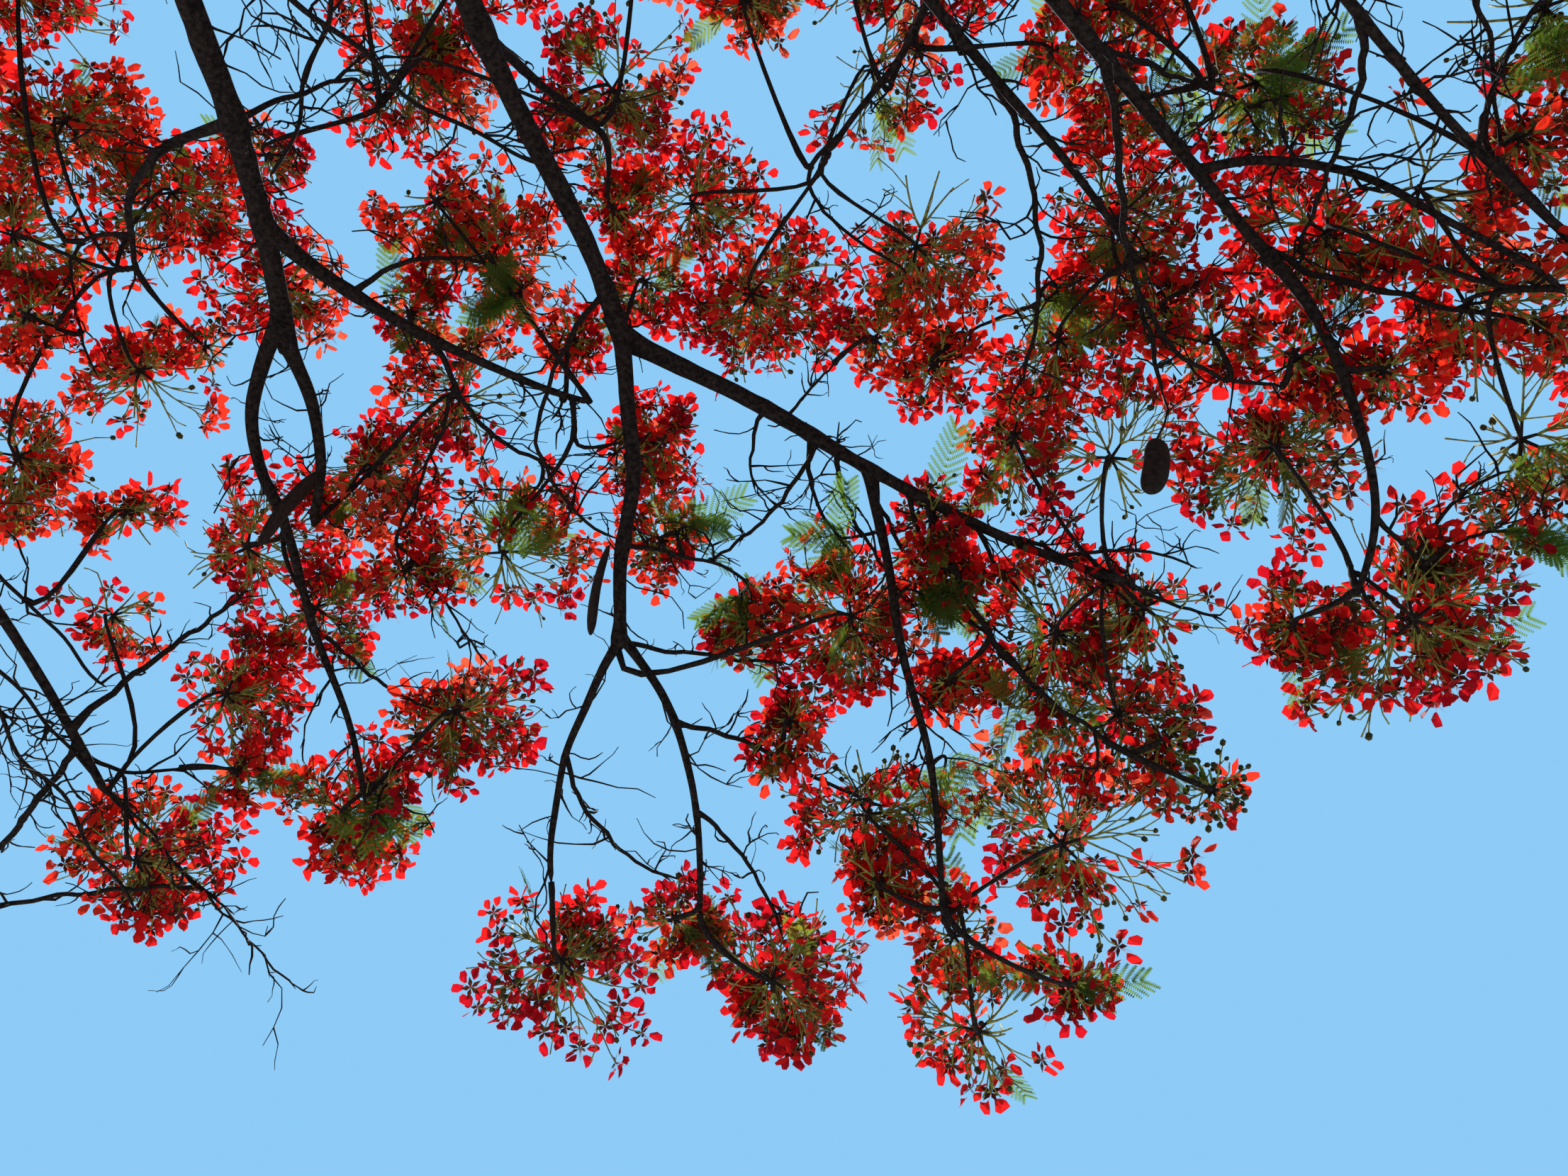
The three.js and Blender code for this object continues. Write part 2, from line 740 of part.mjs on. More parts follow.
// Shortest distance between two straight runs.
function runDistance([startA, endA], [startB, endB]) {
  const a = endA.clone().sub(startA);
  const b = endB.clone().sub(startB);
  const gap = startA.clone().sub(startB);
  const aa = Math.max(a.dot(a), TINY);
  const bb = Math.max(b.dot(b), TINY);
  const ab = a.dot(b);
  const ag = a.dot(gap);
  const bg = b.dot(gap);
  const denominator = aa * bb - ab * ab;
  const first = denominator > TINY ? clampShare((ab * bg - ag * bb) / denominator) : 0;
  const shareB = clampShare((ab * first + bg) / bb);
  const shareA = clampShare((ab * shareB - ag) / aa);
  return startA.clone().addScaledVector(a, shareA).distanceTo(startB.clone().addScaledVector(b, shareB));
}

// A spray keeps to its own clump's share of the space between all the masses.
function staysInSpace(spray, clump, otherClumps) {
  return [spray.tip, spray.left, spray.right].every((corner) => {
    const own = corner.distanceToSquared(clump.middle) - clump.size ** 2;
    return otherClumps.every((other) => {
      const theirs = corner.distanceToSquared(other.middle) - other.size ** 2;
      const apart = clump.middle.distanceTo(other.middle);
      return theirs - own > 2 * SPACE_MARGIN * apart;
    });
  });
}

function touchesAny(spray, hub, rods) {
  const { tip, left, right } = spray;
  const edges = [[hub, left], [left, tip], [hub, right], [right, tip]];
  const runs = [...edges, [hub, tip], [left, right]];
  return rods.some((rod) => runs.some((run) => runDistance(run, rod.run) < rod.radius + TOUCH_MARGIN));
}

function rodsOf(line, radiusAt, count) {
  return segmentsOf(line, count).map((run, index) => ({ run, radius: radiusAt(index / count) }));
}

function massRods(mass) {
  const twigs = mass.clumps.map((clump) => clump.twig);
  const rods = mass.stem ? [mass.stem, ...twigs] : twigs;
  return rods.flatMap((rod) => rodsOf(rod.line, rod.radiusAt, TWIG_STEPS));
}

// Fuses a mass: its twigs, and every spray that stays in its space and clear of limbs and twigs.
function massSolid(mass, masses, limbRods, limbSolids) {
  const others = masses.filter((other) => other !== mass);
  const otherClumps = others.flatMap((other) => other.clumps);
  const otherRods = others.flatMap(massRods);
  const pieces = mass.clumps.map((clump) => {
    const ownRods = rodsOf(clump.twig.line, clump.twig.radiusAt, TWIG_STEPS).slice(0, -1);
    const rods = [...limbRods, ...otherRods, ...ownRods];
    const kept = clump.sprays.filter(
      (spray) => !touchesAny(spray, clump.hub, rods) && staysInSpace(spray, clump, otherClumps),
    );
    return solidFrom(clumpOnTwig(clump, clump.twig, kept));
  });
  if (mass.stem) {
    pieces.push(solidFrom(taperedTube(mass.stem.line, mass.stem.radiusAt, TWIG_SIDES, 1)));
  }
  let fused = wasm.Manifold.union(pieces);
  for (const limb of limbSolids) {
    if (boxesMeet(fused, limb)) {
      fused = fused.subtract(limb);
    }
  }
  return largestBody(fused);
}

function namedMesh(name, solid, material) {
  const mesh = new THREE.Mesh(geometryFrom(solid), material);
  mesh.name = name;
  return mesh;
}

function buildTree() {
  const tree = new THREE.Group();
  const grownSolids = [solidFrom(trunkGeometry(CLEARANCE))];
  tree.add(namedMesh("trunk", solidFrom(trunkGeometry()), bark));

  const limbs = growLimbs();
  for (const limb of limbs.values()) {
    let solid = solidFrom(limbGeometry(limb));
    for (const earlier of grownSolids) {
      if (boxesMeet(solid, earlier)) {
        solid = solid.subtract(earlier);
      }
    }
    tree.add(namedMesh(limb.name, largestBody(solid), bark));
    grownSolids.push(solidFrom(limbGeometry(limb, CLEARANCE)));
  }

  const limbRods = [...limbs.values()].flatMap((limb) => rodsOf(limb.line, limb.radiusAt, limb.steps));
  const rows = [...SEEN_MASSES, ...farMasses(limbs)];
  const masses = rows.map((row, order) => growMass(row, limbs, order));
  for (const mass of masses) {
    const solid = massSolid(mass, masses, limbRods, grownSolids);
    tree.add(namedMesh(mass.name, solid, mass.leafy ? foliage : blossom));
  }
  return tree;
}

export default buildTree();
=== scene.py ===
"""Flame tree (royal poinciana) in full bloom, dressed for its pictures.

Metres, +Z up. The origin is the middle of the flat cut under the trunk. A place in the crown is a
bearing (degrees clockwise from +Y, seen from above), a reach (level distance from the trunk's foot)
and a height. Limbs, masses, clumps and sprays grow by the same rule and the same seeded numbers as
the solids, and carry on from there to twigs, racemes, flowers, buds and leaflets.
"""

import json
import logging
import math
from dataclasses import dataclass
from enum import Enum
from typing import Callable, Sequence

import bpy
import numpy as np
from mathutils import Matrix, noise

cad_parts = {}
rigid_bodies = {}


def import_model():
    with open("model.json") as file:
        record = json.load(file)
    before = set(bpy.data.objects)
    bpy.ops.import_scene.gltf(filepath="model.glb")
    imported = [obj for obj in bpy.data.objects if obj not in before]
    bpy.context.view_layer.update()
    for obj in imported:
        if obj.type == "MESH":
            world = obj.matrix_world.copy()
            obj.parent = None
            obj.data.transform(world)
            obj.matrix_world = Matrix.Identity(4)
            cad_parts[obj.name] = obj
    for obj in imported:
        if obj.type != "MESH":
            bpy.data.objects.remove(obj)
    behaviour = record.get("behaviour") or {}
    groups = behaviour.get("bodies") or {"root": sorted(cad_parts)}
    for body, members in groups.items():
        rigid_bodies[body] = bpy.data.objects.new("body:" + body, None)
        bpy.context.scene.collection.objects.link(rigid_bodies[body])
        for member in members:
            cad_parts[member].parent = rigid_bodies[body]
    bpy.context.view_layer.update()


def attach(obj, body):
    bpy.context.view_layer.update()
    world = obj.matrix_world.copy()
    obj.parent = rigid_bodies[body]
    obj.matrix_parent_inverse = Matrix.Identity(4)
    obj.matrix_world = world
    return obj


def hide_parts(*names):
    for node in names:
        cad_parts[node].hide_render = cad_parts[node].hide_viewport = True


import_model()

log = logging.getLogger("flame_tree")

Pair = tuple[float, float]
Place = tuple[float, float, float]
Colour = tuple[float, float, float]
Line = Callable[[np.ndarray], np.ndarray]
Random = np.random.Generator
Socket = bpy.types.NodeSocket
Material = bpy.types.Material

UP = np.array([0.0, 0.0, 1.0])
EAST = np.array([1.0, 0.0, 0.0])
TURN = 2 * math.pi
GOLDEN_ANGLE = math.pi * (3 - math.sqrt(5))
GOLDEN_SHARE = (math.sqrt(5) - 1) / 2
SHORTEST = 1e-9
NEARLY_UPRIGHT = 0.95
LIMB_SEED = 100
BRANCH_SEED = 300
LOOSE_ORDER = 100


class Side(Enum):
    """The part of the crown that the photograph shows, and all the rest."""

    SEEN = "seen"
    FAR = "far"


class SeededNumbers:
    """Numbers between 0 and 1 that come out alike each time for the same seed."""

    STEP = 0x6D2B79F5
    WORD = 0xFFFFFFFF
    SHIFTS = (15, 7, 14)
    ODD = 61

    def __init__(self, seed: int) -> None:
        """Start the row of numbers.

        Args:
            seed: Whole number that picks the row.
        """
        self._state = seed & self.WORD

    def next(self) -> float:
        """Return the next number of the row."""
        first, second, third = self.SHIFTS
        self._state = state = (self._state + self.STEP) & self.WORD
        mixed = (state ^ (state >> first)) * (state | 1) & self.WORD
        turned = (mixed ^ (mixed >> second)) * (mixed | self.ODD) & self.WORD
        mixed = ((mixed + turned) & self.WORD) ^ mixed
        return ((mixed ^ (mixed >> third)) & self.WORD) / (self.WORD + 1)


def unit(vectors: np.ndarray) -> np.ndarray:
    """Return one vector, or many in rows, at length one."""
    lengths = np.linalg.norm(vectors, axis=-1, keepdims=True)
    return vectors / np.maximum(lengths, SHORTEST)


def place_at(bearing: float, reach: float, height: float) -> np.ndarray:
    """Return the point at a bearing, reach and height."""
    angle = math.radians(bearing)
    return np.array([reach * math.sin(angle), reach * math.cos(angle), height])


def between(first: float, last: float, share: float) -> float:
    """Return the value that lies at a share of the way from first to last."""
    return first + (last - first) * share


@dataclass(frozen=True)
class Roof:
    """The umbrella that the clumps of the crown stand on."""

    top: float = 6.9
    drop: float = 3.7
    curve: float = 2.6
    reach: float = 5.35
    extra: float = 0.25
    light_bearing: float = 20.0
    slope_step: float = 0.04

    def reach_at(self, bearing: float) -> float:
        """Return how far the roof reaches out at a bearing."""
        return self.reach + self.extra * math.cos(math.radians(bearing - self.light_bearing))

    def height_at(self, bearing: float, reach: float) -> float:
        """Return the roof's height over a place on the ground."""
        return self.top - self.drop * (reach / self.reach_at(bearing)) ** self.curve

    def normal_at(self, bearing: float, reach: float) -> np.ndarray:
        """Return the direction that stands square off the roof."""
        further = self.height_at(bearing, reach + self.slope_step)
        nearer = self.height_at(bearing, reach - self.slope_step)
        slope = (further - nearer) / (2 * self.slope_step)
        return unit(place_at(bearing, 1, 0) * -slope + UP)


ROOF = Roof()


@dataclass(frozen=True)
class LimbRow:
    """One limb, from a share of its parent's length to its tip.

    bow is how far the middle is pushed (clockwise, up), and thick is the radius at both ends. The
    usual values are those of a leafy twig.
    """

    name: str
    parent: str
    at: float
    tip: Place
    bow: Pair = (0.03, 0.03)
    thick: Pair = (0.007, 0.004)


SEEN_LIMBS = [LimbRow(*row) for row in (
    ("bough_north", "trunk", 0.93, (4, 1.25, 3.95), (0, 0.25), (0.085, 0.058)),
    ("bough_left", "bough_north", 0.97, (-3, 3.88, 5.0), (-0.04, 0.3), (0.038, 0.03)),
    ("limb_left_side", "bough_left", 0.71, (-11, 3.73, 5.2), (-0.12, 0), (0.017, 0.009)),
    ("limb_left_straight", "bough_left", 0.985, (-2, 4.33, 4.7), (0.06, 0), (0.023, 0.015)),
    ("limb_left_bent", "bough_left", 0.95, (-3, 4.28, 4.68), (-0.11, 0.04), (0.027, 0.017)),
    ("limb_left_outer", "limb_left_bent", 0.96, (1, 4.87, 4.0), (-0.02, 0.05), (0.017, 0.009)),
    ("limb_ring", "bough_left", 0.83, (11, 4.06, 4.9), (-0.14, 0.1), (0.027, 0.01)),
    ("bough_middle", "bough_north", 0.95, (13, 3.95, 5.0), (0.02, 0.4), (0.042, 0.028)),
    ("limb_middle_side", "bough_middle", 0.64, (14, 3.4, 5.4), (-0.04, 0.1), (0.018, 0.01)),
    ("limb_long", "bough_middle", 0.985, (30, 4.76, 4.15), (-0.12, 0.15), (0.034, 0.01)),
    ("limb_long_low", "limb_long", 0.54, (21, 5.14, 3.5), (0.02, 0.1), (0.018, 0.009)),
    ("limb_down", "bough_middle", 0.96, (11, 4.61, 4.3), (0.04, 0), (0.028, 0.02)),
    ("limb_down_left", "limb_down", 0.975, (8, 5.01, 3.75), (-0.06, 0), (0.015, 0.009)),
    ("limb_down_right", "limb_down", 0.95, (13, 5.11, 3.65), (0.1, 0), (0.016, 0.009)),
    ("bough_right", "trunk", 0.9, (39, 4.37, 4.6), (-0.22, 0.95), (0.06, 0.013)),
    ("limb_right_low", "bough_right", 0.985, (36, 4.88, 3.9), (0.12, 0), (0.019, 0.009)),
    ("limb_right_side", "bough_right", 0.92, (45, 4.6, 4.2), (0.08, 0.1), (0.014, 0.008)),
    ("limb_right_inner", "bough_right", 0.45, (35, 4.19, 4.75), (-0.1, 0.35), (0.026, 0.01)),
    ("limb_right_back", "bough_right", 0.7, (25, 3.63, 5.2), (0.12, 0.35), (0.015, 0.009)),
    ("limb_corner", "bough_right", 0.4, (46, 4.57, 4.3), (0.08, 0.25), (0.026, 0.009)),
)]


SEEN_BRANCHES = [LimbRow(*row) for row in (
    ("ring_upper", "limb_ring", 0.27, (8.1, 3.8, 5.25), (0.1, 0.05), (0.01, 0.005)),
    ("ring_lower", "limb_ring", 0.53, (9.2, 4.25, 4.79), (-0.12, 0.05), (0.011, 0.006)),
    ("ring_lower_left", "ring_lower", 0.25, (1.5, 4.4, 4.66), (0, 0.05), (0.008, 0.005)),
    ("ring_low", "ring_lower_left", 0.97, (5.5, 4.66, 4.35), (-0.02, 0.05), (0.006, 0.004)),
    ("long_middle", "limb_long", 0.66, (28, 5.04, 3.79), (-0.1, -0.05), (0.012, 0.006)),
    ("long_inner", "limb_long", 0.44, (14.9, 4.51, 4.54), (0.02, -0.05), (0.009, 0.005)),
    ("long_upper", "limb_long", 0.36, (22, 4.18, 4.97), (-0.02, 0.05), (0.006, 0.004)),
    ("left_fork", "limb_down_left", 0.51, (11.9, 5.11, 3.78), (-0.08, 0), (0.009, 0.005)),
    ("right_arm", "limb_down_right", 0.37, (19.7, 5.05, 3.87), (-0.08, 0.1), (0.009, 0.005)),
    ("right_fork", "limb_down_right", 0.68, (15.5, 5.23, 3.6), (0.02, 0.05), (0.008, 0.005)),
    ("down_arm", "limb_down", 0.97, (17.2, 4.74, 4.25), (-0.06, 0.05), (0.009, 0.005)),
    ("down_left_loop", "bough_middle", 0.93, (11.7, 4.35, 4.53), (-0.22, -0.1), (0.009, 0.005)),
    ("down_side", "limb_down", 0.68, (16.6, 4.58, 4.45), (0, 0.05), (0.008, 0.005)),
    ("back_end", "limb_right_back", 0.95, (26.2, 4.04, 5.11), (-0.2, 0.3), (0.009, 0.005)),
    ("inner_hook", "limb_right_inner", 0.69, (29.2, 4.34, 4.69), (0.1, 0.1), (0.011, 0.006)),
    ("inner_hook_side", "inner_hook", 0.78, (26.7, 4.24, 4.9), (0.04, 0.1)),
    ("right_rim", "bough_right", 0.97, (44.6, 4.72, 4.21), (-0.08, 0.1), (0.011, 0.006)),
    ("right_hang", "bough_right", 0.83, (33.6, 4.46, 4.49), (-0.02, 0), (0.012, 0.006)),
    ("right_hang_side", "right_hang", 0.68, (37.2, 4.59, 4.43), (-0.06, -0.05), (0.008, 0.005)),
    ("inner_end", "limb_right_inner", 0.97, (38.6, 4.39, 4.67), (-0.12, 0.2), (0.008, 0.005)),
    ("right_top", "bough_right", 0.81, (41.7, 4.14, 5.0), (-0.02, 0.05), (0.009, 0.005)),
    ("low_end", "limb_right_low", 0.8, (38.1, 4.98, 3.96), (0, 0), (0.008, 0.005)),
    ("corner_left", "limb_corner", 0.73, (39.7, 4.39, 4.67), (0.04, 0), (0.01, 0.005)),
    ("corner_edge", "limb_corner", 0.65, (46.2, 4.47, 4.61), (0.2, 0.1), (0.01, 0.005)),
    ("far_left_low", "limb_left_side", 0.85, (-12.4, 4.08, 5.04), (-0.2, 0.15), (0.008, 0.004)),
    ("left_crossing", "bough_north", 0.9, (-4.3, 3.43, 5.36), (0.38, 0.2), (0.012, 0.006)),
    ("middle_crossing", "bough_north", 0.9, (11.6, 3.48, 5.38), (-0.32, -0.2), (0.013, 0.006)),
    ("left_arch", "bough_left", 0.71, (0.8, 3.3, 5.66), (0.12, 0.05), (0.009, 0.005)),
    ("rim_left_inner", "bough_west_side", 0.95, (-4.4, 4.49, 4.54), (-0.02, 0.1), (0.012, 0.006)),
    ("rim_left_edge", "bough_west_side", 0.6, (-8.9, 4.66, 4.22), (-0.1, 0.1), (0.01, 0.005)),
    ("rim_left_low", "bough_west_side", 0.55, (-6.4, 5.07, 3.7), (-0.1, 0.05), (0.009, 0.005)),
    ("rim_left_arm", "bough_west_side", 0.97, (-6, 4.87, 4.1), (-0.06, 0), (0.008, 0.005)),
    ("rim_left_bare", "rim_left_low", 0.5, (-3.6, 5.17, 3.77), (-0.06, 0.03)),
    ("rim_left_end", "rim_left_bare", 0.6, (-1.2, 5.29, 3.59), (-0.05, 0.03), (0.006, 0.003)),
    ("outer_side", "limb_left_outer", 0.44, (2.9, 4.75, 4.27), (-0.08, 0.05), (0.008, 0.005)),
    ("long_fan_first", "limb_long", 0.32, (17.3, 4.4, 4.7), (-0.03, 0.02), (0.008, 0.004)),
    ("long_fan_second", "limb_long", 0.42, (20.4, 4.57, 4.52), (-0.05, 0.02), (0.009, 0.004)),
    ("long_fan_third", "limb_long", 0.48, (22.3, 4.72, 4.36), (-0.06, 0.03), (0.009, 0.004)),
    ("long_fan_fourth", "limb_long", 0.56, (24, 4.8, 4.25), (-0.06, 0.02), (0.009, 0.004)),
    ("long_fan_fifth", "limb_long", 0.62, (25.6, 4.93, 4.1), (-0.08, 0.03), (0.009, 0.004)),
    ("long_fan_sixth", "limb_long", 0.75, (27.5, 4.9, 4.12), (-0.04, 0.02), (0.008, 0.004)),
    ("long_fan_last", "limb_long", 0.8, (29.8, 4.92, 4.12), (0.05, 0.02), (0.008, 0.004)),
    ("long_tip", "limb_long", 0.97, (32.2, 4.97, 4.08), (-0.02, 0.02), (0.008, 0.004)),
    ("long_tip_side", "limb_long", 0.88, (32.1, 4.83, 4.18), (0.03, 0.02)),
    ("leaf_twig_top", "right_top", 0.97, (42.1, 4.12, 5.02), (0.01, 0.01), (0.006, 0.004)),
    ("leaf_twig_back", "limb_right_back", 0.75, (28.3, 3.64, 5.49)),
    ("leaf_twig_corner", "limb_corner", 0.89, (49.4, 4.34, 4.77)),
    ("leaf_twig_down", "down_side", 0.45, (14.3, 4.43, 4.64)),
    ("leaf_twig_arm", "down_side", 0.93, (15.5, 4.6, 4.43)),
    ("leaf_twig_long", "limb_long_low", 0.39, (23, 4.69, 4.32)),
    ("leaf_twig_side", "low_end", 0.77, (41.4, 4.92, 4.08)),
    ("leaf_twig_end", "low_end", 0.97, (40.9, 5.02, 3.95)),
    ("leaf_twig_ring", "ring_lower", 0.87, (6.9, 4.33, 4.75)),
    ("leaf_twig_left", "limb_left_outer", 0.97, (1.8, 4.94, 4.02)),
    ("leaf_twig_upper", "ring_upper", 0.97, (7.4, 3.81, 5.24), (0.01, 0.01), (0.006, 0.004)),
    ("leaf_twig_crook", "limb_ring", 0.89, (8.8, 4.12, 4.93)),
    ("leaf_twig_hook", "inner_hook", 0.75, (31.7, 4.23, 4.87)),
    ("leaf_twig_low", "limb_long_low", 0.73, (21.9, 5.02, 3.92)),
    ("leaf_twig_inner", "limb_long_low", 0.19, (20.1, 4.55, 4.55)),
    ("leaf_twig_middle", "long_middle", 0.65, (25.2, 4.98, 4.03)),
    ("rim_left_level", "rim_left_bare", 0.9, (-12.3, 5.17, 3.69), (0, 0.03), (0.007, 0.008)),
    ("rim_left_drop", "bough_west_side", 0.96, (-12.4, 5.12, 3.82), (0.02, 0.02), (0.011, 0.009)),
    ("upright_left", "bough_left", 0.45, (-12, 2.35, 5.75), (0.1, 0.1), (0.02, 0.009)),
    ("upright_middle", "bough_middle", 0.4, (16, 2.3, 5.8), (0.1, 0.1), (0.02, 0.009)),
    ("upright_right", "bough_right", 0.5, (43, 2.9, 5.6), (0.1, 0.1), (0.02, 0.009)),
)]


@dataclass(frozen=True)
class FarBoughs:
    """The boughs of the unseen sides, each a main limb, a side limb and an upright one."""

    boughs: tuple[tuple[str, float, Place, Pair], ...] = (
        ("bough_east", 96, (140, 3.95, 4.3), (0.06, 0.32)),
        ("bough_south", 196, (250, 3.9, 4.25), (0.06, 0.32)),
        ("bough_west", 304, (352, 4.84, 3.95), (-0.42, 0.62)),
    )
    start: float = 0.88
    tip: Pair = (3.95, 4.25)
    bow: Pair = (0.08, 0.82)
    thick: Pair = (0.086, 0.02)
    side_at: float = 0.42
    side_thick: Pair = (0.04, 0.012)
    crown_at: float = 0.33
    crown_tip: Pair = (1.25, 5.5)
    crown_bow: Pair = (0, 0.2)
    crown_thick: Pair = (0.042, 0.016)

    def rows(self) -> list[LimbRow]:
        """Return the rows of all these limbs, in the order that they grow."""
        rows: list[LimbRow] = []
        for name, bearing, side, side_bow in self.boughs:
            tip = (bearing, *self.tip)
            upright = (bearing, *self.crown_tip)
            rows += [
                LimbRow(name, "trunk", self.start, tip, self.bow, self.thick),
                LimbRow(f"{name}_side", name, self.side_at, side, side_bow, self.side_thick),
                LimbRow(f"{name}_crown", name, self.crown_at, upright, self.crown_bow, self.crown_thick),
            ]
        return rows


FAR_LIMBS = FarBoughs().rows()


@dataclass
class MassRow:
    """One mass of clumps on a limb. A clump is bearing, reach and size, and a lift off the roof."""

    name: str
    limb: str
    clumps: list[tuple[float, ...]]
    at: float = 1.0
    leafy: bool = False
    buds: float = 0.2
    side: Side = Side.SEEN


SEEN_MASSES = [
    MassRow("blossom_far_left", "limb_left_side", [
        (-17, 3.57, 0.4), (-11, 3.69, 0.39), (-18, 3.88, 0.35), (-11, 4.14, 0.34), (-15, 4.38, 0.37),
    ]),
    MassRow("blossom_left", "bough_left", [(-5, 3.89, 0.3)]),
    MassRow("blossom_left_middle", "limb_left_straight", [(0, 4.33, 0.34), (4, 4.17, 0.32)]),
    MassRow("blossom_left_low", "limb_left_bent", [(-5, 4.52, 0.39), (-2, 4.64, 0.29)]),
    MassRow("blossom_left_outer", "limb_left_outer", [(0, 5.04, 0.34), (4, 4.86, 0.35)]),
    MassRow("blossom_ring", "limb_ring", [(6, 3.83, 0.37), (3, 3.66, 0.3)]),
    MassRow("blossom_ring_low", "limb_ring", [(6, 4.54, 0.4), (13, 4.33, 0.26)], at=0.95),
    MassRow("blossom_top", "limb_middle_side", [(2, 3.3, 0.38), (14, 3.45, 0.42)]),
    MassRow("blossom_rim_left", "bough_west_side", [
        (-7, 5.13, 0.38), (-5, 4.82, 0.34), (-10, 4.68, 0.25),
    ]),
    MassRow("blossom_rim_middle", "limb_down_left", [(8, 5.31, 0.39)], buds=0.3),
    MassRow("blossom_rim_right", "limb_down_right", [(15, 5.38, 0.39)], buds=0.3),
    MassRow("blossom_inner", "limb_down", [(20, 4.8, 0.4)]),
    MassRow("blossom_low", "limb_long_low", [
        (19, 5.15, 0.34), (25, 5.27, 0.43), (21, 5.5, 0.32),
    ], buds=0.45),
    MassRow("blossom_long", "limb_long", [
        (27, 4.94, 0.4), (31, 4.68, 0.35), (30, 4.95, 0.34), (28, 5.1, 0.34), (28, 4.56, 0.33),
    ], buds=0.35),
    MassRow("blossom_right_back", "limb_right_back", [
        (19, 4.06, 0.41), (27, 4.1, 0.42), (28, 3.65, 0.33), (17, 3.79, 0.32),
    ]),
    MassRow("blossom_right_inner", "limb_right_inner", [(35, 4.26, 0.4), (31, 4.42, 0.33)]),
    MassRow("blossom_right_low", "limb_right_low", [(37, 5.13, 0.43), (36, 4.79, 0.37)], buds=0.4),
    MassRow("blossom_right_side", "limb_right_side", [
        (43, 4.74, 0.4), (41, 4.5, 0.36), (44, 4.53, 0.34), (42, 4.96, 0.34),
    ]),
    MassRow("leaves_corner", "limb_corner", [(42, 4.18, 0.38), (50, 4.41, 0.34)], leafy=True),
]


TOP_LIFT = -0.1
LOW_LIFT = -0.14
TIP_LIFT = -0.12


def single_clumps(lift: float, rows: Sequence[tuple]) -> list[MassRow]:
    """Return masses of one clump each, between the larger ones.

    Args:
        lift: How far they stand off the roof.
        rows: Limb, share of its length, bearing, reach, size and, where it isn't the usual, buds.

    Returns:
        The masses' rows.
    """
    return [
        MassRow("loose", limb, [(bearing, reach, size, lift)], at, False, *buds)
        for limb, at, bearing, reach, size, *buds in rows
    ]


def filled_tops(rows: Sequence[tuple]) -> list[MassRow]:
    """Return masses above the picture's edge: each has its limb, start, and its clumps' size and places."""
    return [
        MassRow("hidden", limb, [(*place, size, TOP_LIFT) for place in places], at, side=Side.FAR)
        for limb, at, size, places in rows
    ]


LOOSE_CLUMPS = [
    *single_clumps(TOP_LIFT, [
        ("left_arch", 0.97, 0, 3.0, 0.26), ("left_arch", 0.9, 8, 3.0, 0.26),
        ("leaf_twig_back", 0.79, 29, 3.4, 0.24), ("leaf_twig_back", 0.67, 34, 3.5, 0.24),
        ("limb_middle_side", 0.87, 18, 3.1, 0.24), ("far_left_low", 0.29, -20, 3.1, 0.25),
        ("right_top", 0.69, 42, 3.8, 0.25),
    ]),
    *filled_tops([
        ("upright_left", 1.0, 0.5, [(-33, 2.7), (-19, 2.6), (-5, 2.4), (-28, 1.9)]),
        ("upright_middle", 1.0, 0.5, [(10, 2.5), (25, 2.6), (12, 1.7)]),
        ("upright_right", 1.0, 0.5, [(36, 3.0), (46, 3.4), (43, 2.3), (57, 3.0)]),
        ("corner_edge", 0.53, 0.45, [(52, 3.9)]),
    ]),
    *single_clumps(LOW_LIFT, [
        ("limb_right_low", 0.97, 34, 5.0, 0.22), ("long_middle", 0.97, 29, 5.1, 0.18, 0.8),
    ]),
    *single_clumps(TIP_LIFT, [
        ("long_middle", 0.9, 29.8, 5.2, 0.17, 0.9),
    ]),
    *single_clumps(LOW_LIFT, [
        ("limb_middle_side", 0.97, 13, 3.7, 0.2), ("bough_middle", 0.97, 14, 3.9, 0.2),
        ("leaf_twig_crook", 0.35, 10, 4.0, 0.17), ("limb_ring", 0.43, 2, 3.9, 0.2),
        ("far_left_low", 0.83, -16, 4.0, 0.23), ("limb_left_side", 0.97, -8, 4.0, 0.17),
        ("long_upper", 0.97, 24, 4.2, 0.2), ("inner_hook_side", 0.97, 26, 4.3, 0.2),
        ("limb_down", 0.47, 12, 4.3, 0.17), ("leaf_twig_down", 0.45, 13, 4.5, 0.2),
        ("leaf_twig_arm", 0.63, 16, 4.7, 0.2), ("limb_long", 0.65, 24, 4.6, 0.22),
        ("long_middle", 0.19, 24, 4.7, 0.17), ("long_middle", 0.41, 23, 4.9, 0.16),
        ("right_arm", 0.49, 17, 4.9, 0.22), ("ring_low", 0.17, 2, 4.5, 0.2),
        ("rim_left_edge", 0.77, -10, 4.4, 0.2), ("right_hang_side", 0.65, 36, 4.5, 0.22),
        ("right_hang_side", 0.97, 38, 4.6, 0.2), ("limb_right_low", 0.37, 40, 4.7, 0.2),
        ("inner_end", 0.79, 35, 4.4, 0.16), ("limb_right_back", 0.55, 36, 3.8, 0.2),
        ("right_top", 0.65, 37, 4.0, 0.2), ("corner_edge", 0.97, 47, 4.5, 0.23),
        ("limb_down_right", 0.97, 12, 5.2, 0.19), ("limb_long_low", 0.97, 19, 5.2, 0.2),
        ("limb_long_low", 0.97, 21, 5.3, 0.2), ("limb_long_low", 0.97, 24, 5.4, 0.2),
        ("left_arch", 0.97, -6, 3.5, 0.2), ("back_end", 0.23, 23, 3.3, 0.22),
        ("right_top", 0.63, 39, 3.8, 0.22), ("rim_left_arm", 0.97, -4, 4.9, 0.17),
        ("left_arch", 0.97, 4, 3.2, 0.17), ("leaf_twig_end", 0.15, 38, 5.0, 0.15),
    ]),
]


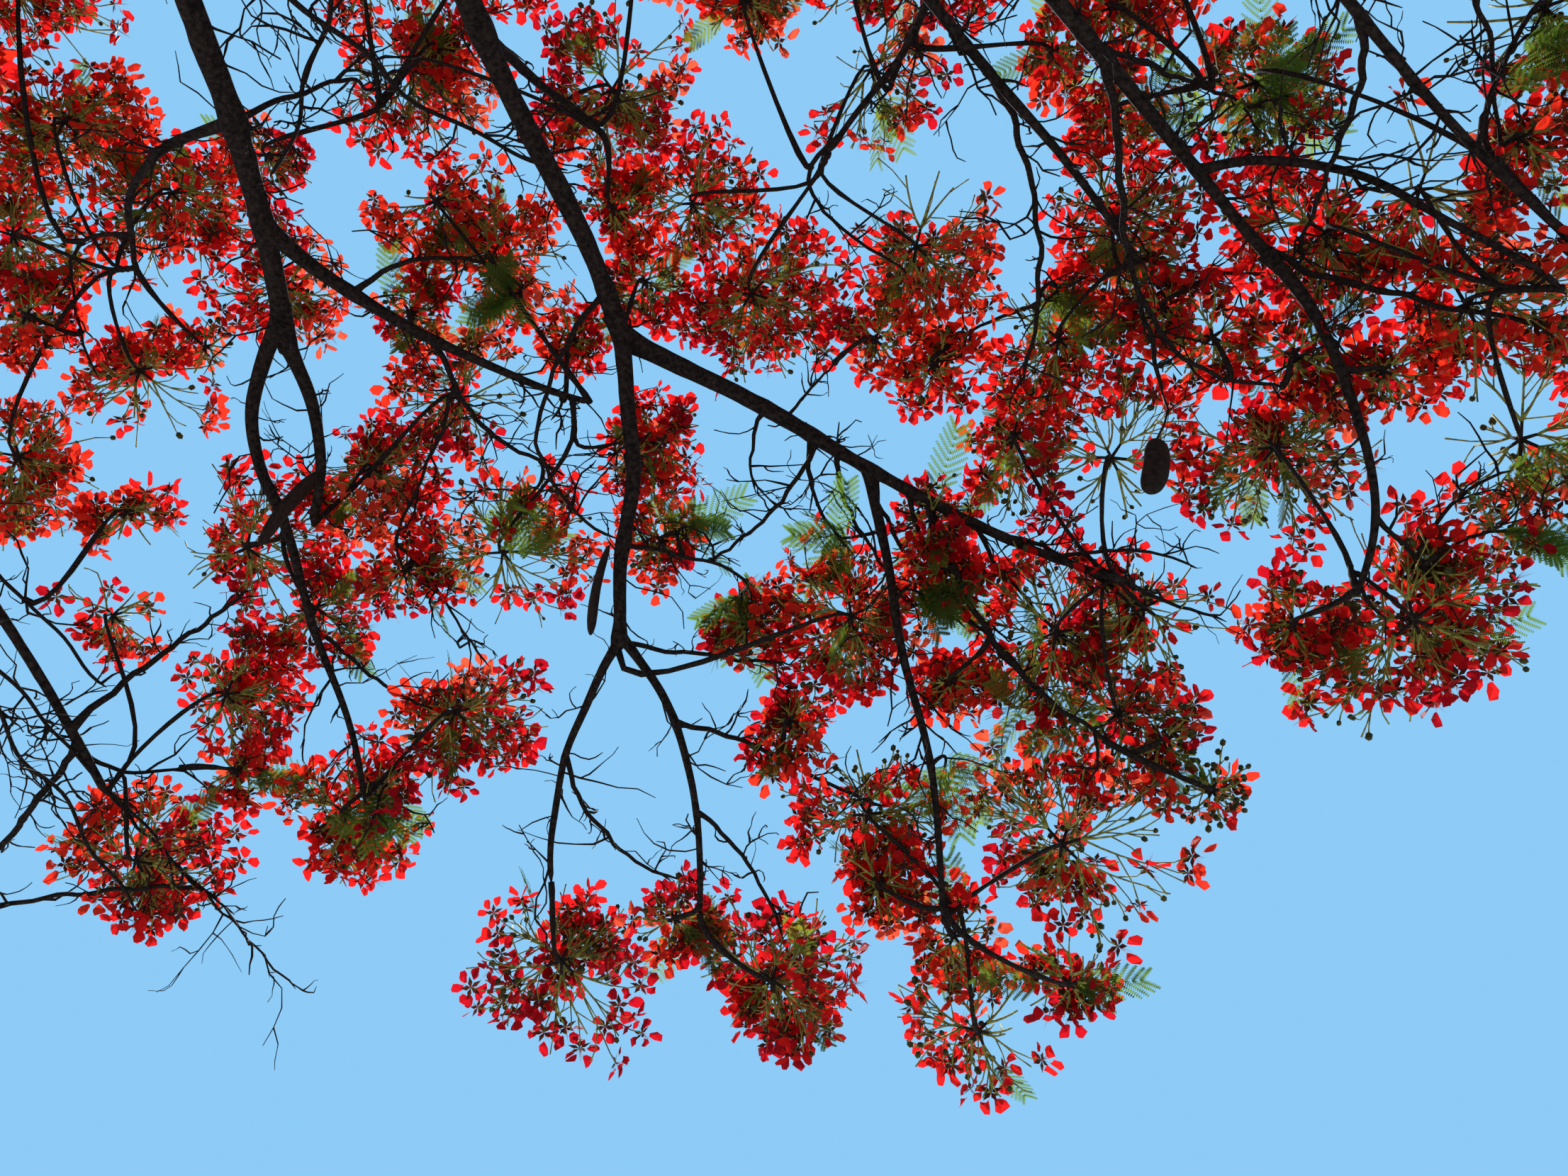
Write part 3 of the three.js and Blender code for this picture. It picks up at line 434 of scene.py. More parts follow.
SKY_GAPS = (
    (31, 4.7, 0.19), (29, 3.9, 0.16), (46, 4.4, 0.17), (44, 4.4, 0.15), (41, 4.9, 0.17), (32, 4.9, 0.14),
    (31, 5.0, 0.11), (19, 5.0, 0.11), (6, 4.2, 0.18), (1, 3.6, 0.1), (0, 3.3, 0.1), (-9, 4.6, 0.21),
    (-7, 4.9, 0.17), (6, 4.6, 0.14), (27, 3.6, 0.18), (31, 4.2, 0.12), (22, 5.5, 0.11), (15, 5.2, 0.11),
    (27, 5.3, 0.14), (9, 5.4, 0.1), (-8, 4.1, 0.12), (49, 4.3, 0.15), (36, 5.0, 0.09), (17, 3.3, 0.13),
    (-12, 4.3, 0.14), (-4, 4.6, 0.09), (44, 4.5, 0.16), (47, 4.3, 0.16), (42, 4.9, 0.15), (40, 4.9, 0.12),
    (-10, 4.2, 0.1),
)


class SkyGaps:
    """Openings of the crown that flowers keep out of: bearing, reach and radius of each."""

    def __init__(self, eye: Place) -> None:
        """Work out the cone of sight of each opening.

        Args:
            eye: Where they are seen from.
        """
        self.eye = np.array(eye)
        places = [place_at(bearing, reach, ROOF.height_at(bearing, reach)) for bearing, reach, _ in SKY_GAPS]
        away = np.array(places) - self.eye
        radii = np.array([radius for _, _, radius in SKY_GAPS])
        self.directions = unit(away)
        self.cosines = np.cos(radii / np.linalg.norm(away, axis=1))

    def hold(self, point: np.ndarray) -> bool:
        """Return whether a point is seen in an opening."""
        return bool(np.any(self.directions @ unit(point - self.eye) > self.cosines))


@dataclass(frozen=True)
class Sway:
    """How a limb wanders between its ends: size as a share of its length, and the waves it is made of."""

    size: float
    waves: tuple[int, ...]
    fall: float


LIMB_SWAY = Sway(0.012, (2, 3, 5), 1.0)
BRANCH_SWAY = Sway(0.015, (2, 3, 5, 9, 14), 0.55)


class Limb:
    """A limb's middle line and its radius, both told by the share of its length."""

    TAPER_CURVE = 0.85
    COLLAR = 0.3
    COLLAR_LENGTH = 0.05
    DIRECTION_STEP = 0.01

    def __init__(self, row: LimbRow, parent: Line, seed: int, sway: Sway) -> None:
        """Work the limb's line out from its row.

        Args:
            row: Where the limb starts, ends and bows.
            parent: The line of the limb that it grows from.
            seed: Picks how it wanders between its ends.
            sway: How far and how often it wanders.
        """
        random = SeededNumbers(seed)
        self.row = row
        self.start = parent(row.at)
        self.chord = place_at(*row.tip) - self.start
        self.length = float(np.linalg.norm(self.chord))
        self.clockwise = unit(np.array([self.chord[1], -self.chord[0], 0.0]))
        self.sway = []
        for waves in sway.waves:
            wander = 2 * sway.size * self.length * (sway.waves[0] / waves) ** sway.fall
            side = (random.next() - 0.5) * wander
            lift = (random.next() - 0.5) * wander
            self.sway.append((waves, side, lift))

    def line(self, share: np.ndarray | float) -> np.ndarray:
        """Return the point, or points, at a share of the limb's length."""
        share = np.asarray(share, float)
        arch = 4 * share * (1 - share)
        side = arch * self.row.bow[0]
        lift = arch * self.row.bow[1]
        for waves, wave_side, wave_lift in self.sway:
            swing = np.sin(math.pi * waves * share)
            side = side + wave_side * swing
            lift = lift + wave_lift * swing
        return (
            self.start + share[..., None] * self.chord
            + side[..., None] * self.clockwise + lift[..., None] * UP
        )

    def direction(self, share: np.ndarray | float) -> np.ndarray:
        """Return which way the limb runs at a share of its length."""
        share = np.asarray(share, float)
        ahead = self.line(np.minimum(1, share + self.DIRECTION_STEP))
        return unit(ahead - self.line(np.maximum(0, share - self.DIRECTION_STEP)))

    def radius(self, share: np.ndarray | float) -> np.ndarray:
        """Return the limb's radius at a share of its length."""
        share = np.asarray(share, float)
        thick, thin = self.row.thick
        collar = self.COLLAR * thin * np.exp(-share / self.COLLAR_LENGTH)
        return thick + (thin - thick) * share**self.TAPER_CURVE + collar


@dataclass
class Twig:
    """A twig's middle line and its radius at both ends."""

    line: Line
    thick: float
    thin: float


@dataclass
class Spray:
    """One arm of a clump: which way it points, which way lies beside it, and how long it is."""

    along: np.ndarray
    sideways: np.ndarray
    length: float


@dataclass
class Clump:
    """A clump: where its sprays meet, the way it faces, its sprays and the twig that carries it."""

    hub: np.ndarray
    axis: np.ndarray
    sprays: list[Spray]
    twig: Twig | None = None


@dataclass
class Mass:
    """A mass of clumps with the stem that they share, if they are more than one."""

    row: MassRow
    clumps: list[Clump]
    stem: Twig | None = None

    def twigs(self) -> list[Twig]:
        """Return its clumps' twigs and its stem."""
        return [clump.twig for clump in self.clumps] + ([self.stem] if self.stem else [])


@dataclass(frozen=True)
class ClumpRule:
    """How a clump's sprays fan out like an umbrella."""

    sprays: int = 6
    hub_depth: float = 0.3
    shortest: float = 0.84
    tilt: Pair = (34.0, 106.0)
    turn_jitter: float = 0.1
    tilt_jitter: float = 0.12

    def grow(self, place: tuple[float, ...], random: SeededNumbers) -> Clump:
        """Return the clump at a place of the roof, still without its twig.

        Args:
            place: Bearing, reach, size and, if it isn't nought, the lift off the roof.
            random: Row of numbers of the clump's mass.

        Returns:
            The clump.
        """
        bearing, reach, size, lift = (*place, 0.0)[:4]
        axis = ROOF.normal_at(bearing, reach)
        middle = place_at(bearing, reach, ROOF.height_at(bearing, reach) + lift)
        across = unit(EAST - axis * axis[0])
        over = np.cross(axis, across)
        sector = TURN / self.sprays
        first = random.next() * TURN
        sprays = []
        for index in range(self.sprays):
            turn = first + (index + (random.next() - 0.5) * self.turn_jitter) * sector
            share = (index * GOLDEN_SHARE + random.next() * self.tilt_jitter) % 1
            tilt = math.radians(between(*self.tilt, share))
            length = size * (self.shortest + (1 - self.shortest) * random.next())
            outward = across * math.cos(turn) + over * math.sin(turn)
            along = axis * math.cos(tilt) + outward * math.sin(tilt)
            sprays.append(Spray(along, np.cross(axis, outward), length))
        return Clump(middle - axis * self.hub_depth * size, axis, sprays)


@dataclass(frozen=True)
class MassRule:
    """How a mass's stem and twigs run from its limb to its clumps."""

    seed: int = 1000
    seed_step: int = 17
    stem_radius: float = 0.017
    twig_radius: float = 0.012
    twig_tip_radius: float = 0.008
    fork_share: float = 0.42
    first_twig: float = 0.3
    leave: float = 0.3
    arrive: float = 0.32
    hub_half_thickness: float = 0.03

    def twig(self, start: np.ndarray, heading: np.ndarray, clump: Clump, thick: float) -> Twig:
        """Return the twig that leaves along its heading and comes up under the clump.

        Args:
            start: Where it leaves its stem or limb.
            heading: Which way it leaves.
            clump: The clump that it carries.
            thick: Its radius at the start.

        Returns:
            The twig.
        """
        end = clump.hub - clump.axis * self.hub_half_thickness
        length = float(np.linalg.norm(end - start))
        second = start + heading * self.leave * length
        third = end - clump.axis * self.arrive * length

        def line(share: np.ndarray | float) -> np.ndarray:
            """Return the point, or points, at a share of its length."""
            t = np.asarray(share, float)[..., None]
            rest = 1 - t
            return rest**3 * start + 3 * rest**2 * t * second + 3 * rest * t**2 * third + t**3 * end

        return Twig(line, thick, self.twig_tip_radius)

    def grow(self, row: MassRow, limb: Limb, order: int) -> Mass:
        """Return a mass with its clumps, twigs and stem.

        Args:
            row: The mass's name, limb and clumps.
            limb: The limb that it grows from.
            order: The mass's place in the whole row of masses.

        Returns:
            The mass.
        """
        random = SeededNumbers(self.seed + order * self.seed_step)
        start = limb.line(row.at)
        clumps = [ClumpRule().grow(place, random) for place in row.clumps]
        if len(clumps) == 1:
            clumps[0].twig = self.twig(start, limb.direction(row.at), clumps[0], self.stem_radius)
            return Mass(row, clumps)
        fork = start + (np.mean([clump.hub for clump in clumps], axis=0) - start) * self.fork_share
        onward = unit(fork - start)
        for index, clump in enumerate(clumps):
            share = between(self.first_twig, 1, (index + 1) / len(clumps))
            clump.twig = self.twig(start + (fork - start) * share, onward, clump, self.twig_radius)

        def straight(share: np.ndarray | float) -> np.ndarray:
            """Return the point, or points, of the stem at a share of its length."""
            return start + np.asarray(share, float)[..., None] * (fork - start)

        return Mass(row, clumps, Twig(straight, self.stem_radius, self.twig_radius))


@dataclass(frozen=True)
class FarMasses:
    """The clumps that the photograph doesn't show, dealt evenly over the roof like sunflower seeds."""

    clumps: int = 74
    reach_share: float = 0.93
    size: float = 0.66
    lift: Pair = (-0.52, 0.06)
    seen_bearing: float = 16.0
    seen_half_width: float = 38.0
    seen_reach: float = 2.75
    rim_masses: int = 8
    rim_start: float = 52.0
    rim_span: float = 290.0
    rim_reach: float = 3.9
    inner_bearings: tuple[float, ...] = (60, 180, 300)
    inner_reach: float = 1.5
    seed: int = 7
    shared_limb_step: float = 0.05

    def middles(self) -> dict[str, Pair]:
        """Return the bearing and reach of each mass's middle by its name, rim first."""
        step = self.rim_span / self.rim_masses
        middles = {
            f"blossom_rim_{index + 1}": (self.rim_start + (index + 0.5) * step, self.rim_reach)
            for index in range(self.rim_masses)
        }
        for index, bearing in enumerate(self.inner_bearings):
            middles[f"blossom_crown_{index + 1}"] = (bearing, self.inner_reach)
        return middles

    def rows(self, limbs: dict[str, Limb]) -> list[MassRow]:
        """Return the rows of these masses, each on the far limb whose tip is nearest.

        A limb that carries several has each a step further back.

        Args:
            limbs: All limbs by name.

        Returns:
            The rows, rim first.
        """
        middles = self.middles()
        uses = dict.fromkeys([row.name for row in FAR_LIMBS], 0)
        rows = []
        for name, (bearing, reach) in middles.items():
            middle = place_at(bearing, reach, ROOF.height_at(bearing, reach))
            limb = min(uses, key=lambda far: np.linalg.norm(limbs[far].line(1) - middle))
            rows.append(MassRow(name, limb, [], 1 - self.shared_limb_step * uses[limb], side=Side.FAR))
            uses[limb] += 1
        random = SeededNumbers(self.seed)
        for index in range(self.clumps):
            bearing = (math.degrees(index * GOLDEN_ANGLE) + 180) % 360 - 180
            reach = ROOF.reach_at(bearing) * self.reach_share
            reach *= math.sqrt((index + 0.5) / self.clumps)
            lift = between(*self.lift, random.next())
            if abs(bearing - self.seen_bearing) < self.seen_half_width and reach > self.seen_reach:
                continue
            place = place_at(bearing, reach, 0)
            gaps = [np.linalg.norm(place_at(*middle, 0) - place) for middle in middles.values()]
            rows[int(np.argmin(gaps))].clumps.append((bearing, reach, self.size, lift))
        return rows


@dataclass(frozen=True)
class FarBranches:
    """Side branches of the far limbs, spread to both sides beneath the roof."""

    seen_limb: str = "bough_west_side"
    per_limb: int = 6
    along: Pair = (0.35, 0.96)
    turn: Pair = (10.0, 26.0)
    turn_reach: float = 3.4
    widest_turn: float = 3.0
    outward: Pair = (0.2, 0.8)
    under_roof: float = 0.38
    reach_share: float = 0.9
    bow: Pair = (0.05, 0.1)
    thick: Pair = (0.015, 0.006)
    seed: int = 11

    def rows(self, limbs: dict[str, Limb]) -> list[LimbRow]:
        """Return the rows of these branches.

        Args:
            limbs: All limbs by name.

        Returns:
            The rows, limb by limb.
        """
        random = SeededNumbers(self.seed)
        rows = []
        for far in FAR_LIMBS:
            if far.name == self.seen_limb:
                continue
            for index in range(self.per_limb):
                share = between(*self.along, index / (self.per_limb - 1))
                start = limbs[far.name].line(share)
                reach = float(np.hypot(start[0], start[1]))
                turn = between(*self.turn, random.next()) * min(self.widest_turn, self.turn_reach / reach)
                bearing = math.degrees(math.atan2(start[0], start[1])) + (turn if index % 2 else -turn)
                reach += between(*self.outward, random.next())
                reach = min(reach, ROOF.reach_at(bearing) * self.reach_share)
                tip = (bearing, reach, ROOF.height_at(bearing, reach) - self.under_roof)
                rows.append(LimbRow(f"{far.name}_{index + 1}", far.name, share, tip, self.bow, self.thick))
        return rows


@dataclass
class Shape:
    """A joined mesh in the making: its points and its triangles."""

    points: np.ndarray
    faces: np.ndarray

    @staticmethod
    def join(shapes: Sequence["Shape"]) -> "Shape":
        """Return several shapes as one."""
        starts = np.cumsum([0] + [len(shape.points) for shape in shapes[:-1]])
        return Shape(
            np.concatenate([shape.points for shape in shapes]),
            np.concatenate([shape.faces + start for shape, start in zip(shapes, starts)]),
        )

    @staticmethod
    def loose(corners: Sequence[np.ndarray]) -> "Shape":
        """Return single triangles as one shape, from their corners, three and three."""
        points = np.concatenate([block.reshape(-1, 3) for block in corners])
        return Shape(points, np.arange(len(points)).reshape(-1, 3))

    def turned(self, turn: float) -> "Shape":
        """Return the shape turned about the Z axis by an angle in radians."""
        cos, sin = math.cos(turn), math.sin(turn)
        return Shape(self.points @ np.array([(cos, sin, 0), (-sin, cos, 0), (0, 0, 1)]), self.faces)

    def copies(self, origins: np.ndarray, frames: np.ndarray, sizes: np.ndarray) -> "Shape":
        """Return the shape repeated.

        Args:
            origins: Where each copy's own origin goes, in rows.
            frames: The three directions of each copy's own axes, as rows of a 3 by 3 block.
            sizes: How much larger each copy is.

        Returns:
            All copies as one shape.
        """
        turned = np.einsum("pk,nkj->npj", self.points, frames)
        points = turned * sizes[:, None, None] + origins[:, None, :]
        steps = np.arange(len(origins))[:, None, None] * len(self.points)
        return Shape(points.reshape(-1, 3), (self.faces[None] + steps).reshape(-1, 3))

    def placed(self, origin: np.ndarray, way: np.ndarray, spin: float) -> "Shape":
        """Return the shape at a point, with its Z axis along a direction and turned about it."""
        return self.copies(origin[None], square_frames(way[None], np.array([spin])), np.ones(1))

    def piece(self, name: str, material: Material, smooth: bool = True) -> bpy.types.Object:
        """Make the scene's object from the shape.

        Args:
            name: The object's name.
            material: Its only material.
            smooth: Whether its faces are shaded as one round surface.

        Returns:
            The new object, riding on the tree.
        """
        mesh = bpy.data.meshes.new(name)
        mesh.vertices.add(len(self.points))
        mesh.vertices.foreach_set("co", self.points.astype(np.float32).ravel())
        mesh.loops.add(self.faces.size)
        mesh.loops.foreach_set("vertex_index", self.faces.astype(np.int32).ravel())
        mesh.polygons.add(len(self.faces))
        mesh.polygons.foreach_set("loop_start", np.arange(0, self.faces.size, 3, dtype=np.int32))
        mesh.polygons.foreach_set("use_smooth", np.full(len(self.faces), smooth))
        mesh.update(calc_edges=True)
        mesh.materials.append(material)
        piece = bpy.data.objects.new(name, mesh)
        bpy.context.scene.collection.objects.link(piece)
        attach(piece, "root")
        log.info("%s: %d triangles", name, len(self.faces))
        return piece


def square_frames(along: np.ndarray, spin: np.ndarray | None = None) -> np.ndarray:
    """Return three square directions for each given one, which becomes the third.

    Args:
        along: Directions in rows.
        spin: Turn of the first two about the third, in radians.

    Returns:
        A 3 by 3 block for each direction.
    """
    along = unit(along)
    helper = np.where(np.abs(along[:, 2:3]) > NEARLY_UPRIGHT, EAST, UP)
    across = unit(np.cross(helper, along))
    over = np.cross(along, across)
    if spin is not None:
        cos, sin = np.cos(spin)[:, None], np.sin(spin)[:, None]
        across, over = across * cos + over * sin, over * cos - across * sin
    return np.stack([across, over, along], axis=1)


def carried_frames(along: np.ndarray) -> np.ndarray:
    """Return square directions along many lines that never twist from one point to the next.

    Args:
        along: Lines by points by three, each of length one.

    Returns:
        Lines by points by a 3 by 3 block, whose third row is the line's own direction.
    """
    first = square_frames(along[:, 0])
    across = [first[:, 0]]
    for index in range(1, along.shape[1]):
        ahead = along[:, index]
        last = across[-1]
        across.append(unit(last - ahead * np.sum(last * ahead, axis=1, keepdims=True)))
    across = np.stack(across, axis=1)
    return np.stack([across, np.cross(along, across), along], axis=2)


def rods(points: np.ndarray, radii: np.ndarray, sides: int) -> Shape:
    """Return closed tubes along many lines that have the same number of points.

    Args:
        points: Rods by points by three.
        radii: One for each point of a rod, or rods by points, or rods by points by sides.
        sides: How many sides each tube has.

    Returns:
        All tubes as one shape.
    """
    count, rings = points.shape[:2]
    if radii.ndim < 3:
        radii = np.broadcast_to(radii, (count, rings))[:, :, None]
    frames = carried_frames(unit(np.gradient(points, axis=1)))
    angles = np.arange(sides) * TURN / sides
    spokes = (
        np.cos(angles)[:, None] * frames[:, :, None, 0]
        + np.sin(angles)[:, None] * frames[:, :, None, 1]
    )
    corners = points[:, :, None] + spokes * radii[..., None]
    side = np.arange(sides)
    here = (np.arange(rings - 1)[:, None] * sides + side).ravel()
    beside = (np.arange(rings - 1)[:, None] * sides + (side + 1) % sides).ravel()
    inner = np.arange(1, sides - 1)
    start_cap = np.stack([np.zeros_like(inner), inner + 1, inner], axis=1)
    faces = np.concatenate([
        np.stack([here, beside, beside + sides], axis=1),
        np.stack([here, beside + sides, here + sides], axis=1),
        start_cap,
        start_cap[:, [0, 2, 1]] + (rings - 1) * sides,
    ])
    steps = np.arange(count)[:, None, None] * rings * sides
    return Shape(corners.reshape(-1, 3), (faces[None] + steps).reshape(-1, 3))


def smooth_noise(points: np.ndarray, shift: float) -> np.ndarray:
    """Return smooth noise between -1 and 1 at points in rows, from a pattern that is shifted."""
    return np.array([noise.noise(point) for point in points + shift])


def select_nothing() -> None:
    """Deselect every object, so that an operator acts only on what it is given."""
    bpy.ops.object.select_all(action="DESELECT")


def taken_shape() -> Shape:
    """Return the active object's mesh as a shape of triangles, and remove the object."""
    piece = bpy.context.object
    mesh = piece.data
    mesh.calc_loop_triangles()
    points = np.array([vertex.co for vertex in mesh.vertices])
    faces = np.array([triangle.vertices for triangle in mesh.loop_triangles])
    bpy.data.objects.remove(piece)
    bpy.data.meshes.remove(mesh)
    return Shape(points, faces)


class Board:
    """A material's nodes, added and wired one by one."""

    GRAIN_ROUGHNESS = 0.6

    def __init__(self, name: str) -> None:
        """Start an empty material.

        Args:
            name: The material's name.
        """
        self.material = bpy.data.materials.new(name)
        self.material.use_nodes = True
        self.tree = self.material.node_tree
        self.tree.nodes.clear()
        self.output = self.add("ShaderNodeOutputMaterial")
        self.places = self.add("ShaderNodeTexCoord").outputs["Object"]

    def add(self, kind: str, **values: object) -> bpy.types.Node:
        """Add a node.

        Args:
            kind: The node's type.
            values: Inputs to set by their names, with _ for a space.

        Returns:
            The node.
        """
        node = self.tree.nodes.new(kind)
        for name, value in values.items():
            node.inputs[name.replace("_", " ")].default_value = value
        return node

    def wire(self, source: Socket, target: Socket) -> None:
        """Join two sockets."""
        self.tree.links.new(source, target)

    def mix(self, blend: str, factor: Socket | float, first: Socket, second: Socket | Colour) -> Socket:
        """Blend two colours.

        Args:
            blend: The way that they are blended.
            factor: Share of the second one.
            first: The first colour.
            second: The second colour.

        Returns:
            The socket that gives the blend.
        """
        node = self.add("ShaderNodeMix")
        node.data_type = "RGBA"
        node.blend_type = blend
        inputs = [socket for socket in node.inputs if socket.type == "RGBA"]
        if isinstance(factor, float):
            node.inputs[0].default_value = factor
        else:
            self.wire(factor, node.inputs[0])
        self.wire(first, inputs[0])
        if isinstance(second, tuple):
            inputs[1].default_value = (*second, 1.0)
        else:
            self.wire(second, inputs[1])
        return next(socket for socket in node.outputs if socket.type == "RGBA")

    def grain(self, scale: float, detail: float) -> Socket:
        """Return a noise pattern of so many waves per metre, with finer layers for detail."""
        pattern = self.add("ShaderNodeTexNoise", Scale=scale, Detail=detail, Roughness=self.GRAIN_ROUGHNESS)
        self.wire(self.places, pattern.inputs["Vector"])
        return pattern.outputs["Fac"]

    def ramp(self, source: Socket, stops: Sequence[float], colours: Sequence[Colour]) -> Socket:
        """Return colours dealt out by a pattern.

        Args:
            source: The pattern.
            stops: The pattern's value for each colour.
            colours: The colours.

        Returns:
            The socket that gives the colour.
        """
        ramp = self.add("ShaderNodeValToRGB")
        elements = ramp.color_ramp.elements
        while len(elements) < len(stops):
            elements.new(1.0)
        for element, stop, colour in zip(elements, stops, colours):
            element.position = stop
            element.color = (*colour, 1.0)
        self.wire(source, ramp.inputs["Fac"])
        return ramp.outputs["Color"]

    def bump(self, source: Socket, depth: float, strength: float) -> Socket:
        """Return the surface's direction with a pattern's relief in it.

        Args:
            source: The pattern.
            depth: Height of the relief, in metres.
            strength: Share of it that shows.

        Returns:
            The socket that gives the direction.
        """
        bump = self.add("ShaderNodeBump", Strength=strength, Distance=depth)
        self.wire(source, bump.inputs["Height"])
        return bump.outputs["Normal"]

    def skin(self, colour: Socket, normal: Socket, roughness: float, gloss: float) -> Socket:
        """Return a plain surface.

        Args:
            colour: Its colour.
            normal: Its direction.
            roughness: How matt it is.
            gloss: How much light it throws straight back.

        Returns:
            The socket that gives the surface.
        """
        shader = self.add("ShaderNodeBsdfPrincipled", Roughness=roughness, Specular_IOR_Level=gloss)
        self.wire(colour, shader.inputs["Base Color"])
        self.wire(normal, shader.inputs["Normal"])
        return shader.outputs["BSDF"]

    def finish(self, shader: Socket) -> Material:
        """Wire the shader to the output and return the material."""
        self.wire(shader, self.output.inputs["Surface"])
        return self.material


@dataclass(frozen=True)
class BarkFinish:
    """Dark bark with fine cracks and pale patches of lichen, darkened with height by painted shade, so that
    it is greyer towards the trunk's foot.
    """

    name: str
    deep: Colour = (0.05, 0.038, 0.03)
    middle: Colour = (0.2, 0.155, 0.12)
    worn: Colour = (0.4, 0.33, 0.265)
    wood_stops: Place = (0.36, 0.52, 0.7)
    lichen: Colour = (0.44, 0.42, 0.33)
    lichen_from: float = 0.68
    lichen_edge: float = 0.05
    patch_scale: float = 9.0
    patch_detail: float = 6
    crack_scale: float = 70.0
    crack_detail: float = 4
    relief: Pair = (0.004, 0.7)
    roughness: float = 0.92
    gloss: float = 0.15
    # Painted shade: between these heights the bark's colour is multiplied down to the colour below.
    painted_shade_heights: Pair = (1.6, 3.4)
    painted_shade_aloft: Colour = (0.105, 0.085, 0.083)

    def material(self) -> Material:
        """Return the material."""
        black, white = (0, 0, 0), (1, 1, 1)
        board = Board(self.name)
        patches = board.grain(self.patch_scale, self.patch_detail)
        cracks = board.grain(self.crack_scale, self.crack_detail)
        wood = board.ramp(cracks, self.wood_stops, (self.deep, self.middle, self.worn))
        cover = board.ramp(patches, (self.lichen_from, self.lichen_from + self.lichen_edge), (black, white))
        # Painted shade: the bark gets darker with height, up into the crown.
        low, high = self.painted_shade_heights
        split = board.add("ShaderNodeSeparateXYZ")
        board.wire(board.places, split.inputs["Vector"])
        height = board.add("ShaderNodeMapRange", From_Min=low, From_Max=high)
        board.wire(split.outputs["Z"], height.inputs["Value"])
        shade = board.ramp(height.outputs["Result"], (0.0, 1.0), (white, self.painted_shade_aloft))
        colour = board.mix("MULTIPLY", 1.0, board.mix("MIX", cover, wood, self.lichen), shade)
        return board.finish(board.skin(colour, board.bump(cracks, *self.relief), self.roughness, self.gloss))


@dataclass(frozen=True)
class ThinFinish:
    """Petal or leaf: thin tissue that glows where light comes through it from behind."""

    name: str
    colour: Colour
    veins: Colour
    glow: Colour
    through: float = 0.6
    vein_scale: float = 110.0
    vein_detail: float = 2
    vein_stops: Pair = (0.35, 0.6)
    relief: Pair = (0.002, 0.5)
    roughness: float = 0.6
    gloss: float = 0.12

    def material(self) -> Material:
        """Return the material."""
        board = Board(self.name)
        grain = board.grain(self.vein_scale, self.vein_detail)
        tissue = board.ramp(grain, self.vein_stops, (self.veins, self.colour))
        normal = board.bump(grain, *self.relief)
        back = board.add("ShaderNodeBsdfTranslucent", Color=(*self.glow, 1.0))
        board.wire(normal, back.inputs["Normal"])
        mix = board.add("ShaderNodeMixShader", Fac=self.through)
        board.wire(board.skin(tissue, normal, self.roughness, self.gloss), mix.inputs[1])
        board.wire(back.outputs["BSDF"], mix.inputs[2])
        return board.finish(mix.outputs["Shader"])


@dataclass(frozen=True)
class SolidFinish:
    """Stalk, bud, stamen or pod: dense tissue with a fine mottle."""

    name: str
    dark: Colour
    light: Colour
    scale: float = 60.0
    detail: float = 3
    stops: Pair = (0.35, 0.65)
    relief: Pair = (0.001, 0.4)
    roughness: float = 0.7
    gloss: float = 0.15

    def material(self) -> Material:
        """Return the material."""
        board = Board(self.name)
        grain = board.grain(self.scale, self.detail)
        colour = board.ramp(grain, self.stops, (self.dark, self.light))
        return board.finish(board.skin(colour, board.bump(grain, *self.relief), self.roughness, self.gloss))


